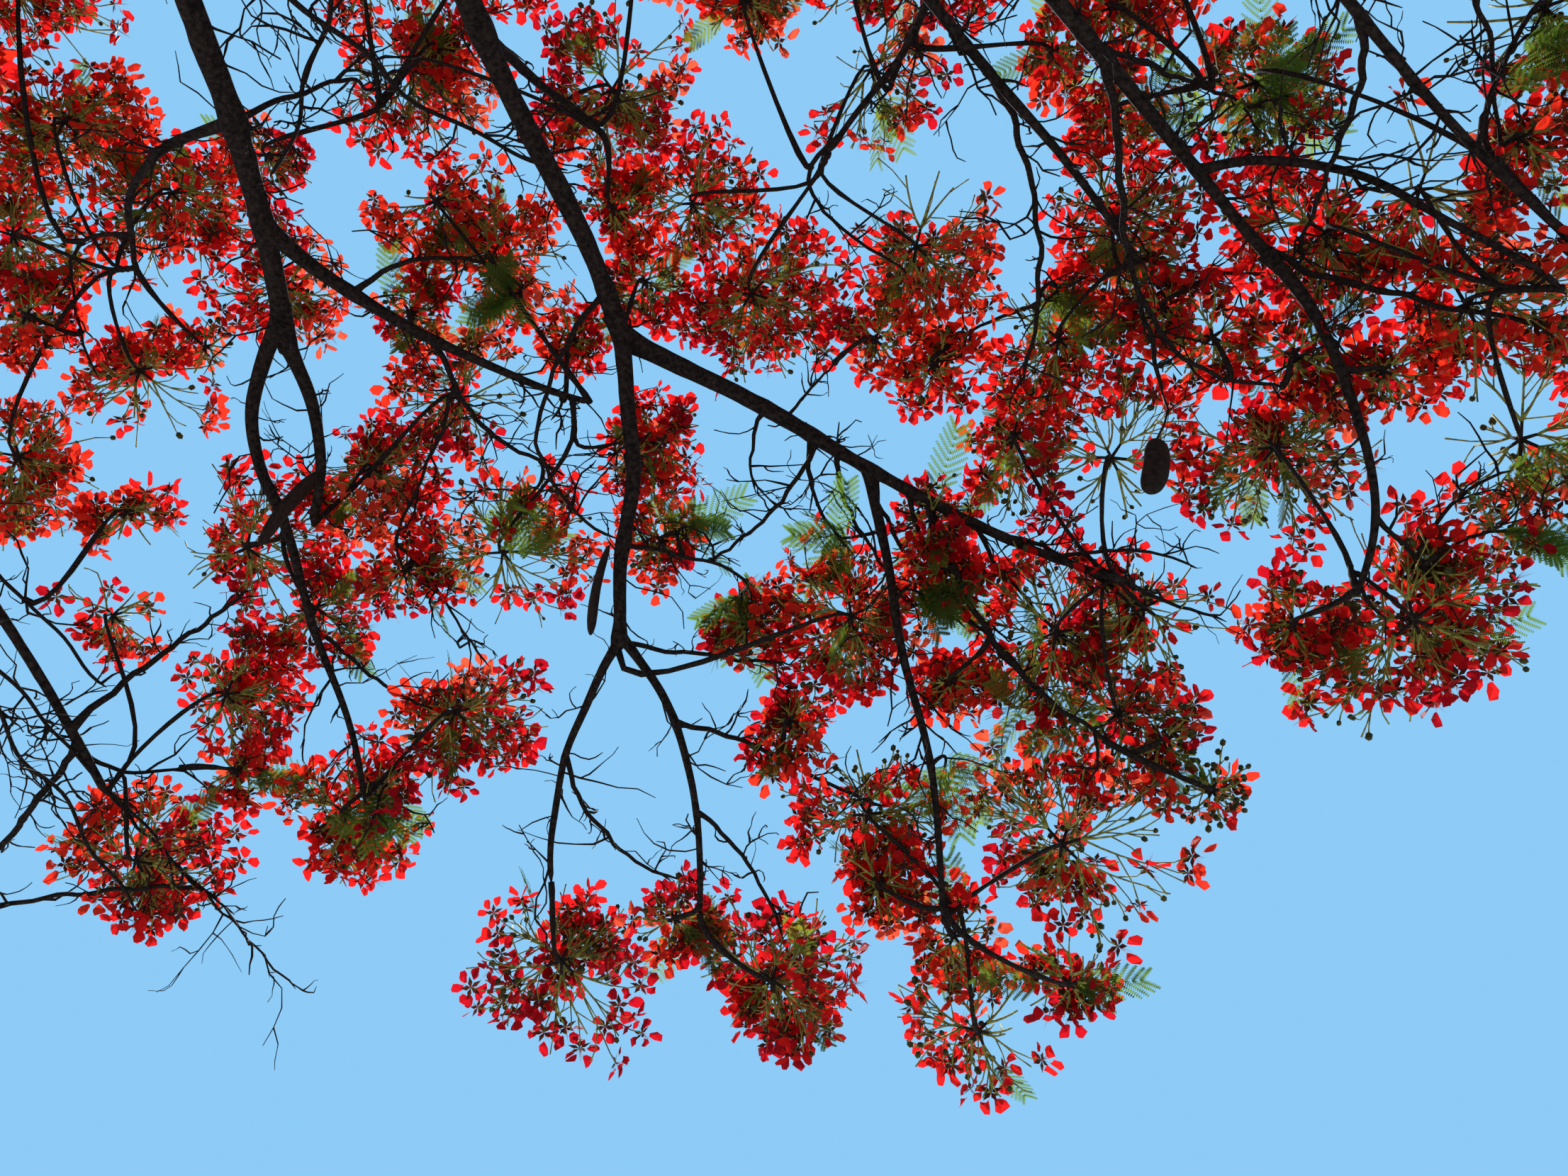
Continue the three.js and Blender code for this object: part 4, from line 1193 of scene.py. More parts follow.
@dataclass(frozen=True)
class Trunk:
    """The trunk: a lean, a taper, a ridged root flare and a rounded head, all under rough bark.

    The waves of the bark's relief are waves round the trunk, waves per metre up it and a shift.
    """

    height: float = 2.48
    lean: Pair = (0.09, 0.11)
    lean_curve: float = 1.6
    radius: float = 0.215
    head_radius: float = 0.17
    head_rounding: float = 0.85
    flare: float = 0.21
    flare_height: float = 0.33
    ridges: int = 5
    ridge_depth: float = 0.17
    sides: int = 120
    rings: int = 90
    lump: float = 0.012
    lump_waves: Place = (1.3, 2.2, 5)
    crack: float = 0.007
    crack_waves: Place = (5.5, 5, 9)
    pore: float = 0.003
    pore_waves: Place = (14, 30, 2)

    def line(self, share: np.ndarray | float) -> np.ndarray:
        """Return the point, or points, of its middle line at a share of its height."""
        share = np.asarray(share, float)
        lean = share**self.lean_curve
        return np.stack([lean * self.lean[0], lean * self.lean[1], share * self.height], axis=-1)

    def radius_at(self, height: np.ndarray, angle: np.ndarray) -> np.ndarray:
        """Return its radius, without the bark's relief.

        Args:
            height: Heights over the ground.
            angle: Angles round the trunk, in radians.

        Returns:
            The radius at each place.
        """
        taper = self.radius + (self.head_radius - self.radius) * height / self.height
        fade = np.exp(-height / self.flare_height)
        ridge = 1 + self.ridge_depth * fade * np.cos(self.ridges * angle)
        from_head = 1 - np.minimum(1, (self.height - height) / self.head_radius)
        dome = np.sqrt(1 - self.head_rounding * from_head**2)
        return (taper + self.flare * fade) * ridge * dome

    def relief(self, height: np.ndarray, angle: np.ndarray) -> np.ndarray:
        """Return how far the bark stands out of the plain trunk.

        Args:
            height: Heights over the ground.
            angle: Angles round the trunk, in radians.

        Returns:
            The relief at each place.
        """
        around = np.stack([np.cos(angle), np.sin(angle)], axis=1)
        lumps, cracks, pores = [
            smooth_noise(np.column_stack([around * turns, height * rises]), shift)
            for turns, rises, shift in (self.lump_waves, self.crack_waves, self.pore_waves)
        ]
        return self.lump * lumps - self.crack * np.abs(cracks) * 2 + self.pore * pores

    def dress(self, bark: Material) -> bpy.types.Object:
        """Model the trunk from a circle, drawn up ring by ring.

        Args:
            bark: Its material.

        Returns:
            The trunk's piece.
        """
        select_nothing()
        bpy.ops.mesh.primitive_circle_add(vertices=self.sides, radius=1, fill_type="NGON")
        bpy.ops.object.mode_set(mode="EDIT")
        bpy.ops.mesh.select_all(action="SELECT")
        step = (0, 0, self.height / self.rings)
        for _ in range(self.rings):
            bpy.ops.mesh.extrude_region_move(TRANSFORM_OT_translate={"value": step})
        bpy.ops.mesh.select_all(action="SELECT")
        bpy.ops.mesh.normals_make_consistent(inside=False)
        bpy.ops.object.mode_set(mode="OBJECT")
        piece = bpy.context.object
        piece.name = piece.data.name = "trunk_bark"
        points = np.empty(len(piece.data.vertices) * 3)
        piece.data.vertices.foreach_get("co", points)
        points = points.reshape(-1, 3)
        height = np.clip(points[:, 2], 0, self.height)
        angle = np.arctan2(points[:, 1], points[:, 0])
        radius = self.radius_at(height, angle) + self.relief(height, angle)
        middle = self.line(height / self.height)
        middle[:, :2] += points[:, :2] * radius[:, None]
        piece.data.vertices.foreach_set("co", middle.ravel())
        bpy.ops.object.shade_smooth()
        piece.data.materials.append(bark)
        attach(piece, "root")
        return piece


@dataclass(frozen=True)
class LimbWood:
    """How a limb's section swells where others fork off, knots, cracks and closes.

    The waves of its relief are waves round the limb and waves per metre along it.
    """

    ring_step: float = 0.022
    fewest_rings: int = 12
    side_width: float = 0.014
    sides: tuple[int, int] = (10, 30)
    root_flare: float = 0.3
    root_run: float = 1.2
    fork_swell: float = 0.14
    fork_run: float = 1.6
    waves: Pair = (0.8, 7)
    lump: float = 0.09
    lump_shift: float = 3.1
    crack: float = 0.05
    crack_shift: float = 1.7
    crack_finer: Place = (3.5, 3.5, 1.6)
    knots_per_metre: float = 5.0
    knot: float = 0.22
    knot_length: Pair = (0.6, 1.3)
    knot_narrowness: float = 2.4
    end_rounding: float = 1.1
    end_closing: float = 0.9

    def shape(self, limb: Limb, parent_radius: float, forks: list[float], order: int) -> Shape:
        """Return a limb with its relief.

        Args:
            limb: The limb.
            parent_radius: Radius of the limb that it leaves.
            forks: Shares of its length at which others leave it.
            order: Picks the pattern of its relief.

        Returns:
            The closed tube.
        """
        rings = max(self.fewest_rings, round(limb.length / self.ring_step))
        shares = np.linspace(0, 1, rings)
        plain = limb.radius(shares)
        sides = int(np.clip(TURN * plain[0] / self.side_width, *self.sides))
        run = shares * limb.length
        swell = 1 + self.root_flare * np.exp(-run / (self.root_run * parent_radius))
        for fork in forks:
            reach = self.fork_run * float(limb.radius(fork))
            swell += self.fork_swell * np.exp(-(((shares - fork) * limb.length / reach) ** 2))
        left = (limb.length - run) / (self.end_rounding * plain[-1])
        close = np.sqrt(1 - self.end_closing * (1 - np.minimum(1, left)) ** 2)
        section = self.section(limb, run, np.arange(sides) * TURN / sides, order)
        return rods(limb.line(shares)[None], ((plain * swell * close)[:, None] * section)[None], sides)

    def section(self, limb: Limb, run: np.ndarray, angles: np.ndarray, order: int) -> np.ndarray:
        """Return how much wider than round a limb is, for its lumps, cracks and knots.

        Args:
            limb: The limb.
            run: Places along it, in metres.
            angles: Angles round it, in radians.
            order: Picks the pattern.

        Returns:
            A share of the plain radius, for places by angles.
        """
        size = (len(run), len(angles))
        turns, rises = self.waves
        around = np.stack([np.cos(angles), np.sin(angles)], axis=1)
        grid = np.concatenate([
            np.broadcast_to(around[None] * turns, (*size, 2)),
            np.broadcast_to(run[:, None, None] * rises, (*size, 1)),
        ], axis=2).reshape(-1, 3)
        lumps = smooth_noise(grid, self.lump_shift * order).reshape(size)
        cracks = np.abs(smooth_noise(grid * self.crack_finer, self.crack_shift * order)).reshape(size)
        section = 1 + self.lump * lumps - self.crack * 2 * cracks
        random = np.random.default_rng(order)
        for _ in range(round(self.knots_per_metre * limb.length)):
            place = random.random() * limb.length
            turn = random.random() * TURN
            width = between(*self.knot_length, random.random()) * float(limb.radius(place / limb.length))
            height = self.knot * random.random()
            along = ((run - place) / width) ** 2
            off = (1 - np.cos(angles - turn)) * self.knot_narrowness
            section += height * np.exp(-along[:, None] - off[None])
        return section


BRANCH_WOOD = LimbWood(ring_step=0.028, side_width=0.008, sides=(6, 10), knots_per_metre=8.0, knot=0.35)


@dataclass(frozen=True)
class DeadTwigs:
    """Thin bare twigs, forked and knobbed, that stay on the limbs inside the crown."""

    per_metre: float
    length: Pair = (0.09, 0.32)
    shortness: float = 1.4
    radius: float = 0.0038
    radius_range: Pair = (0.7, 1.25)
    onward: float = 0.7
    bend: float = 0.32
    rise: float = 0.06
    forks: int = 3
    fork_bend: float = 0.12
    fork_length: float = 0.5
    fork_radius: float = 0.75
    points: int = 6
    from_share: float = 0.22
    thin_end: float = 0.42
    knobs: Pair = (0.75, 1.35)

    def lines(self, limbs: Sequence[Limb], random: Random) -> tuple[np.ndarray, np.ndarray]:
        """Return the twigs' lines and radii.

        Args:
            limbs: The limbs that carry them.
            random: Row of numbers.

        Returns:
            Lines by points by three, and lines by points.
        """
        lines = []
        thick = []
        for limb in limbs:
            for _ in range(round(self.per_metre * limb.length)):
                share = between(self.from_share, 1, random.random())
                heading = unit(limb.direction(share) * self.onward + random.normal(size=3))
                length = between(*self.length, random.random() ** self.shortness)
                radius = self.radius * between(*self.radius_range, random.random())
                line = self.wander(limb.line(share), heading, length, random)
                lines.append(line)
                thick.append(radius)
                for _ in range(random.integers(0, self.forks + 1)):
                    knee = random.integers(1, self.points - 1)
                    bend = random.normal(size=3) * length * self.fork_bend
                    fork = unit(line[knee + 1] - line[knee] + bend)
                    lines.append(self.wander(line[knee], fork, length * self.fork_length, random))
                    thick.append(radius * self.fork_radius)
        taper = np.linspace(1, self.thin_end, self.points)
        knobs = between(*self.knobs, random.random((len(lines), self.points)))
        return np.array(lines), np.array(thick)[:, None] * taper * knobs

    def wander(self, start: np.ndarray, heading: np.ndarray, length: float, random: Random) -> np.ndarray:
        """Return a crooked line.

        Args:
            start: Its first point.
            heading: Which way it sets out.
            length: Its length.
            random: Row of numbers.

        Returns:
            Its points in rows.
        """
        points = [start]
        for _ in range(self.points - 1):
            heading = unit(heading + random.normal(size=3) * self.bend + UP * self.rise)
            points.append(points[-1] + heading * length / (self.points - 1))
        return np.array(points)


class Tint(Enum):
    """The reds of the petals, dealt out spray by spray: colour, veins and glow."""

    SCARLET = ((0.6, 0.01, 0.008), (0.36, 0.005, 0.006), (0.86, 0.014, 0.012))
    CRIMSON = ((0.38, 0.004, 0.008), (0.22, 0.003, 0.006), (0.6, 0.006, 0.013))
    VERMILION = ((0.72, 0.022, 0.009), (0.46, 0.01, 0.007), (0.92, 0.038, 0.014))
    CORAL = ((0.78, 0.06, 0.025), (0.55, 0.025, 0.012), (0.95, 0.1, 0.04))

    def finish(self) -> ThinFinish:
        """Return the tint's finish."""
        colour, veins, glow = self.value
        return ThinFinish(f"petals_{self.name.lower()}", colour, veins, glow)


class Sites:
    """Where copies of one small shape go: their places, the way that they face and their sizes."""

    def __init__(self) -> None:
        """Start with no place."""
        self.rows: list[tuple[np.ndarray, np.ndarray, float]] = []

    def add(self, origin: np.ndarray, facing: np.ndarray, size: float) -> None:
        """Keep one more place."""
        self.rows.append((origin, facing, size))

    def filled(self, variants: Sequence[Shape], random: Random) -> Shape:
        """Return a copy at each place.

        Args:
            variants: Shapes to deal out in turn.
            random: Row of numbers, for each copy's spin.

        Returns:
            All copies as one shape.
        """
        origins, facings, sizes = [np.array(column) for column in zip(*self.rows)]
        frames = square_frames(facings, random.random(len(origins)) * TURN)
        count = len(variants)
        return Shape.join([
            shape.copies(origins[index::count], frames[index::count], sizes[index::count])
            for index, shape in enumerate(variants)
        ])


@dataclass(frozen=True)
class Flower:
    """An open flower that faces along +Z: five crinkled petals on claws, a star of sepals, stamens.

    A far petal is its claw, its blade's left edge, middle and right edge, and its tip.
    """

    variants: int = 10
    parts: int = 5
    claw: Pair = (0.003, 0.0014)
    shoulder: Pair = (0.02, 0.005)
    blade: tuple[Pair, ...] = ((0.026, 0.009), (0.039, 0.0175), (0.053, 0.015))
    tip: float = 0.0585
    cup: float = 0.006
    crumple: float = 0.0032
    tilt: Pair = (-0.15, 0.75)
    twist: float = 0.42
    narrowing: Pair = (0.85, 1.12)
    turn_jitter: float = 0.1
    far_petal: tuple[Place, ...] = (
        (0.004, 0, 0), (0.043, -0.023, 0.012), (0.043, 0, 0.004), (0.043, 0.023, 0.012), (0.067, 0, 0.008),
    )
    sepal: Place = (0.036, 0.0076, -0.007)
    sepal_start: float = 0.001
    sepal_widest: Pair = (0.42, 0.5)
    far_sepal_width: float = 1.6
    stamens: int = 4
    stamen: Place = (0.014, 0.0011, 0.05)
    stamen_lean: Pair = (0.4, 1.6)
    stamen_turn: float = 1.7

    def petals(self, side: Side, random: Random) -> Shape:
        """Return the five petals, each a little off its place, plainer where they are far."""
        petal = self.petal if side is Side.SEEN else self.plain_petal
        return Shape.join([
            petal(random).turned((index + random.normal() * self.turn_jitter) * TURN / self.parts)
            for index in range(self.parts)
        ])

    def petal(self, random: Random) -> Shape:
        """Return one petal along +X, bent, twisted and crumpled its own way."""
        claw_start, claw_width = self.claw
        shoulder, rise = self.shoulder
        (first, narrow), (middle, wide), (last, end) = self.blade
        points = np.array([
            (claw_start, -claw_width, 0), (claw_start, claw_width, 0), (shoulder, 0, rise),
            (first, -narrow, rise), (first, narrow, rise),
            (middle, -wide, rise), (middle, 0, rise - self.cup), (middle, wide, rise),
            (last, -end, rise), (last, end, rise), (self.tip, 0, rise),
        ])
        faces = np.array([
            (0, 2, 1), (2, 3, 4), (3, 5, 6), (3, 6, 4), (4, 6, 7),
            (5, 8, 6), (6, 8, 9), (6, 9, 7), (8, 10, 9),
        ])
        blade = points[3:]
        blade += random.normal(size=blade.shape) * self.crumple
        twist = random.normal() * self.twist
        lift = points[:, 2] + points[:, 1] * math.sin(twist)
        lift += points[:, 0] * between(*self.tilt, random.random())
        points[:, 1] *= math.cos(twist) * between(*self.narrowing, random.random())
        points[:, 2] = lift
        return Shape(points, faces)

    def plain_petal(self, random: Random) -> Shape:
        """Return one petal of four triangles along +X."""
        points = np.array(self.far_petal)
        blade = points[1:]
        blade += random.normal(size=blade.shape) * self.crumple
        points[:, 2] += points[:, 0] * between(*self.tilt, random.random())
        return Shape(points, np.array([(0, 1, 2), (0, 2, 3), (1, 4, 2), (2, 4, 3)]))

    def sepal_star(self, side: Side) -> Shape:
        """Return the star of sepals behind the petals, plainer where they are far."""
        length, width, drop = self.sepal
        along, down = self.sepal_widest
        points = np.array([
            (self.sepal_start, 0, 0), (length * along, -width, drop * down), (length, 0, drop),
            (length * along, width, drop * down),
        ])
        sepal = Shape(points, np.array([(0, 1, 2), (0, 2, 3)]))
        if side is Side.FAR:
            sepal = Shape(points[:3] * (1, self.far_sepal_width, 1), np.array([(0, 1, 2)]))
        return Shape.join([sepal.turned((index + 0.5) * TURN / self.parts) for index in range(self.parts)])

    def stamen_tuft(self, random: Random) -> Shape:
        """Return the thin stamens in front of the petals."""
        out, width, rise = self.stamen
        tuft = []
        for index in range(self.stamens):
            tip = (out * between(*self.stamen_lean, random.random()), 0, rise)
            stamen = Shape(np.array([(0, -width, 0), (0, width, 0), tip]), np.array([(0, 1, 2)]))
            tuft.append(stamen.turned(index * self.stamen_turn))
        return Shape.join(tuft)


@dataclass(frozen=True)
class RacemeRule:
    """How a clump's racemes carry their flowers and buds; lengths are shares of the spray's length.

    A pair with _along in its name is a value at the raceme's start and its change to the end.
    """

    usual_length: float
    fan: int
    flowers: int
    inner: int
    inner_flowers: int
    flower_size: Pair
    fan_angle: float = 21.0
    fan_jitter: float = 5.0
    tilt_jitter: float = 8.0
    twig_share: float = 0.14
    rachis_end: Pair = (0.52, 0.7)
    inner_tilt: Pair = (4.0, 30.0)
    inner_end: Pair = (0.4, 0.58)
    points: int = 5
    sag: float = 0.04
    knee_jitter: float = 0.02
    first_flower: float = 0.12
    place_jitter: float = 0.03
    lean: Pair = (22.0, 54.0)
    lean_along: Pair = (1.3, -0.6)
    stalk: Pair = (0.2, 0.37)
    stalk_along: Pair = (1.2, -0.35)
    stalk_bow: float = 0.03
    stalk_sag: float = 0.015
    buds_along: Pair = (0.3, 1.4)
    bud_stalk: float = 0.6
    bud_size: Pair = (0.75, 1.15)
    facing: Place = (0.8, 0.5, 0.42)
    margin: float = 0.03
    pulled_back: Pair = (0.9, 1)
    stray: float = 0.12
    bare: float = 0.55

    def count(self, number: int, length: float) -> int:
        """Return a number of racemes or flowers, scaled to a spray's length."""
        return max(2, round(number * length / self.usual_length))


class Blossom:
    """The flowers, buds and stalks of one part of the crown, gathered raceme by raceme."""

    def __init__(self, rule: RacemeRule, seed: int, gaps: SkyGaps | None) -> None:
        """Start with nothing.

        Args:
            rule: How the racemes grow.
            seed: Picks their small differences.
            gaps: Openings that flowers keep out of.
        """
        self.rule = rule
        self.gaps = gaps
        self.random = np.random.default_rng(seed)
        self.flowers = {tint: Sites() for tint in Tint}
        self.buds = Sites()
        self.racemes: list[np.ndarray] = []
        self.stalks: list[np.ndarray] = []
        self.twigs: list[np.ndarray] = []

    def dress(self, clump: Clump, tints: Sequence[Tint], buds: float) -> None:
        """Grow the racemes of a clump: a fan on each spray, and inner ones that fill its middle.

        Args:
            clump: The clump.
            tints: The red of each spray's petals.
            buds: Share of its flowers that are still buds.
        """
        rule = self.rule
        random = self.random
        for spray, tint in zip(clump.sprays, tints):
            fork = clump.hub + spray.along * rule.twig_share * spray.length
            self.twigs.append(np.linspace(clump.hub, fork, 3))
            tilt = math.acos(float(np.clip(spray.along @ clump.axis, -1, 1)))
            outward = unit(spray.along - clump.axis * math.cos(tilt))
            racemes = rule.count(rule.fan, spray.length)
            for index in range(racemes):
                turn = (index - (racemes - 1) / 2) * rule.fan_angle * rule.fan / racemes
                turned = math.radians(turn + random.normal() * rule.fan_jitter)
                bent = tilt + math.radians(random.normal() * rule.tilt_jitter)
                side = outward * math.cos(turned) + spray.sideways * math.sin(turned)
                heading = clump.axis * math.cos(bent) + side * math.sin(bent)
                reach = spray.length * between(*rule.rachis_end, random.random())
                self.raceme(clump, fork, heading * reach, spray.length, tint, buds, rule.flowers)
        length = clump.sprays[0].length
        first = random.random() * TURN
        for index in range(rule.count(rule.inner, length)):
            spray = clump.sprays[index % len(clump.sprays)]
            tilt = math.radians(between(*rule.inner_tilt, random.random()))
            turn = first + index * GOLDEN_ANGLE
            over = np.cross(clump.axis, spray.sideways)
            side = spray.sideways * math.cos(turn) + over * math.sin(turn)
            heading = clump.axis * math.cos(tilt) + side * math.sin(tilt)
            reach = length * between(*rule.inner_end, random.random())
            tint = tints[index % len(tints)]
            self.raceme(clump, clump.hub, heading * reach, length, tint, buds, rule.inner_flowers)

    def raceme(
        self, clump: Clump, start: np.ndarray, run: np.ndarray, length: float, tint: Tint, buds: float,
        flowers: int,
    ) -> None:
        """Grow one raceme with its flowers, buds and bare stalks.

        Args:
            clump: The clump.
            start: Where it leaves its twig.
            run: From the clump's hub to its end.
            length: The spray's length.
            tint: The red of its petals.
            buds: Share of its flowers that are still buds.
            flowers: Flowers of a raceme on a spray of the usual length.
        """
        rule = self.rule
        random = self.random
        end = clump.hub + run
        sway = random.normal(size=3) * rule.knee_jitter * length
        knee = (start + end) / 2 - UP * rule.sag * length + sway
        share = np.linspace(0, 1, rule.points)[:, None]
        line = (1 - share) ** 2 * start + 2 * share * (1 - share) * knee + share**2 * end
        self.racemes.append(line)
        spin = random.random() * TURN
        for index, step in enumerate(np.linspace(rule.first_flower, 1, rule.count(flowers, length))):
            place = min(max(step + random.normal() * rule.place_jitter, 0), 1) * (rule.points - 1)
            low = min(int(place), rule.points - 2)
            base = line[low] + (line[low + 1] - line[low]) * (place - low)
            along = unit(line[low + 1] - line[low])
            more_lean, more_stalk, more_buds = [
                first + change * step
                for first, change in (rule.lean_along, rule.stalk_along, rule.buds_along)
            ]
            lean = math.radians(between(*rule.lean, random.random()) * more_lean)
            out = self.spoke(along, spin + index * GOLDEN_ANGLE, lean)
            stalk = length * between(*rule.stalk, random.random()) * more_stalk
            is_bud = random.random() < buds * more_buds
            tip = base + out * stalk * (rule.bud_stalk if is_bud else 1.0)
            away = tip - clump.hub
            far = float(np.linalg.norm(away))
            limit = length - rule.margin
            if far > limit:
                tip = clump.hub + away * limit * between(*rule.pulled_back, random.random()) / far
            if self.gaps and self.gaps.hold(tip) and random.random() > rule.stray:
                continue
            knee = (base + tip) / 2 + along * rule.stalk_bow * length - UP * rule.stalk_sag * length
            self.stalks.append(np.array([base, knee, tip]))
            size = between(*rule.flower_size, random.random())
            ahead, outward, jitter = rule.facing
            facing = unit(ahead * unit(tip - knee) + outward * clump.axis + jitter * random.normal(size=3))
            if is_bud:
                self.buds.add(tip, tip - knee, size * between(*rule.bud_size, random.random()))
            elif random.random() > rule.bare:
                self.flowers[tint].add(tip, facing, size)

    @staticmethod
    def spoke(along: np.ndarray, angle: float, lean: float) -> np.ndarray:
        """Return the direction that leans off a line by one angle, at another angle round it."""
        across, over, _ = square_frames(along[None])[0]
        side = across * math.cos(angle) + over * math.sin(angle)
        return along * math.cos(lean) + side * math.sin(lean)


@dataclass(frozen=True)
class Leaf:
    """A feathered leaf: pinnae in pairs along a drooping stalk, each with many small leaflets."""

    pairs: int
    leaflets: int
    length: Pair
    pair_places: Pair = (0.16, 0.99)
    pinna: float = 0.36
    pinna_swell: Pair = (0.55, 0.45)
    swell_place: Pair = (0.8, 0.06)
    lean: float = 60.0
    lean_loss: float = 0.35
    droop: float = 0.2
    pinna_droop: float = 0.16
    pinna_jitter: float = 0.08
    leaflet: Pair = (0.0092, 0.005)
    leaflet_scale: Pair = (0.5, 1.05)
    leaflet_loss: float = 0.5
    leaflet_slant: float = 0.4
    stalk: float = 0.0014

    def stems(self, length: float) -> tuple[np.ndarray, np.ndarray, np.ndarray]:
        """Return where the pairs of pinnae stand, how far they reach and how far they lean off.

        Args:
            length: The leaf's length.

        Returns:
            Points in rows, lengths, and angles off the stalk in radians.
        """
        first, last = self.pair_places
        least, swell = self.pinna_swell
        stretch, shift = self.swell_place
        along = first + (last - first) * np.arange(self.pairs) / (self.pairs - 1)
        starts = np.stack([0 * along, -self.droop * along**2, along], axis=1) * length
        reach = self.pinna * length * (least + swell * np.sin(math.pi * (along * stretch + shift)))
        return starts, reach, math.radians(self.lean) * (1 - self.lean_loss * along)

    def shape(self, length: float, random: Random) -> Shape:
        """Return one leaf along +Z with its upper side to +Y.

        Args:
            length: Its length.
            random: Row of numbers.

        Returns:
            The leaflets as single triangles, and the stalk as a strip.
        """
        starts, reach, lean = self.stems(length)
        share = (np.arange(self.leaflets) + 0.5) / self.leaflets
        scale = between(*self.leaflet_scale, length / self.length[1])
        size = self.leaflet[0] * scale * (1 - self.leaflet_loss * share**4)[None, :, None]
        blocks = []
        for side in (-1, 1):
            jitter = random.normal(size=self.pairs) * self.pinna_jitter
            way = np.stack([side * np.sin(lean), jitter, np.cos(lean)], axis=1)
            middle = starts[:, None] + way[:, None] * reach[:, None, None] * share[None, :, None]
            middle[..., 1] -= self.pinna_droop * reach[:, None] * share**2
            off = np.stack([np.cos(lean), 0 * lean, -side * np.sin(lean)], axis=1)
            half = way[:, None] * self.leaflet[1] * scale / 2
            for edge in (-1, 1):
                tip = middle + (off * edge)[:, None] * size + way[:, None] * size * self.leaflet_slant
                blocks.append(np.stack([middle - half, middle + half, tip], axis=2))
        return Shape.loose([*blocks, self.strip(starts, length)])

    def strip(self, starts: np.ndarray, length: float) -> np.ndarray:
        """Return the stalk's triangles, which taper from pair to pair."""
        line = np.concatenate([np.zeros((1, 3)), starts])
        side = EAST * self.stalk * length / self.length[1]
        return np.stack([line[:-1] - side, line[1:], line[:-1] + side], axis=1)

    def ribbons(self, length: float) -> Shape:
        """Return a leaf whose pinnae are plain ribbons, for leaves seen from afar."""
        starts, reach, lean = self.stems(length)
        blocks = []
        for side in (-1, 1):
            way = np.stack([side * np.sin(lean), -self.pinna_droop + 0 * lean, np.cos(lean)], axis=1)
            off = np.stack([np.cos(lean), 0 * lean, -side * np.sin(lean)], axis=1) * self.leaflet[0]
            middle = starts + way * reach[:, None] / 2
            tip = starts + way * reach[:, None]
            blocks.append(np.stack([starts, middle - off, middle + off], axis=1))
            blocks.append(np.stack([tip, middle + off, middle - off], axis=1))
        return Shape.loose([*blocks, self.strip(starts, length)])


@dataclass(frozen=True)
class Pod:
    """A hanging seed pod: flat, a little curved, with a bulge at each seed."""

    length: float
    width: float
    thickness: float
    seeds: int
    curve: float = 0.1
    bulge: float = 0.12
    segments: int = 16
    rings: int = 24

    def shape(self) -> Shape:
        """Return the pod, which hangs along -Z from its stalk at the origin."""
        select_nothing()
        bpy.ops.mesh.primitive_uv_sphere_add(segments=self.segments, ring_count=self.rings, radius=0.5)
        bpy.ops.object.mode_set(mode="EDIT")
        bpy.ops.mesh.select_all(action="SELECT")
        bpy.ops.transform.resize(value=(self.width, self.thickness, self.length), center_override=(0, 0, 0))
        bpy.ops.object.mode_set(mode="OBJECT")
        pod = taken_shape()
        share = pod.points[:, 2] / self.length + 0.5
        blunt = np.sqrt(1 + (2 * share - 1) ** 2)
        pod.points[:, 0] *= blunt
        pod.points[:, 1] *= blunt * (1 + self.bulge * np.cos(TURN * self.seeds * share))
        pod.points[:, 0] += self.curve * self.length * np.sin(math.pi * share)
        pod.points[:, 2] -= self.length / 2
        return pod


@dataclass(frozen=True)
class SideRule:
    """How one part of the crown is made: how finely, and from which seeds."""

    racemes: RacemeRule
    leaf: Leaf
    leaf_share: float
    raceme_sides: int
    dead_twig_sides: int
    dead_twigs_per_metre: float
    wood_seed: int
    blossom_seed: int
    leaf_seed: int


SIDE_RULES = {
    Side.SEEN: SideRule(
        RacemeRule(0.35, 3, 11, 4, 11, (0.8, 1.05)), Leaf(9, 12, (0.12, 0.21)), leaf_share=0.4,
        raceme_sides=4, dead_twig_sides=4, dead_twigs_per_metre=15.0,
        wood_seed=44, blossom_seed=61, leaf_seed=81,
    ),
    Side.FAR: SideRule(
        RacemeRule(0.61, 3, 8, 4, 7, (1.2, 1.55), bare=0.15), Leaf(10, 1, (0.3, 0.42)), leaf_share=0.5,
        raceme_sides=3, dead_twig_sides=3, dead_twigs_per_metre=3.0,
        wood_seed=43, blossom_seed=60, leaf_seed=80,
    ),
}


class Kinds(Enum):
    """The finishes that are not petals."""

    # All three barks darken with height as painted shade; far_bark, for the outer boughs, darkens less.
    BARK = BarkFinish("bark")
    FAR_BARK = BarkFinish("far_bark", painted_shade_aloft=(0.32, 0.29, 0.28))
    THIN_BARK = BarkFinish("thin_bark", patch_scale=30.0, crack_scale=160.0, lichen_from=0.76)
    STALK = SolidFinish("stalk", (0.13, 0.115, 0.022), (0.42, 0.38, 0.075))
    SEPAL = ThinFinish(
        "sepal", (0.05, 0.014, 0.007), (0.03, 0.008, 0.005), (0.16, 0.025, 0.008), through=0.25,
    )
    BUD = SolidFinish("bud", (0.02, 0.024, 0.008), (0.09, 0.08, 0.02))
    STAMEN = SolidFinish("stamen", (0.4, 0.02, 0.01), (0.55, 0.2, 0.03))
    POD = SolidFinish("pod", (0.012, 0.008, 0.006), (0.035, 0.022, 0.014))
    # leaf and leaf_lit are one leaf in two tones: leaf_lit is painted light, for leaves in the sun.
    LEAF = ThinFinish("leaf", (0.045, 0.09, 0.016), (0.03, 0.058, 0.011), (0.15, 0.25, 0.025))
    LEAF_LIT = ThinFinish("leaf_lit", (0.08, 0.13, 0.02), (0.06, 0.095, 0.016), (0.25, 0.34, 0.03))

    def material(self) -> Material:
        """Return the finish's material."""
        return self.value.material()


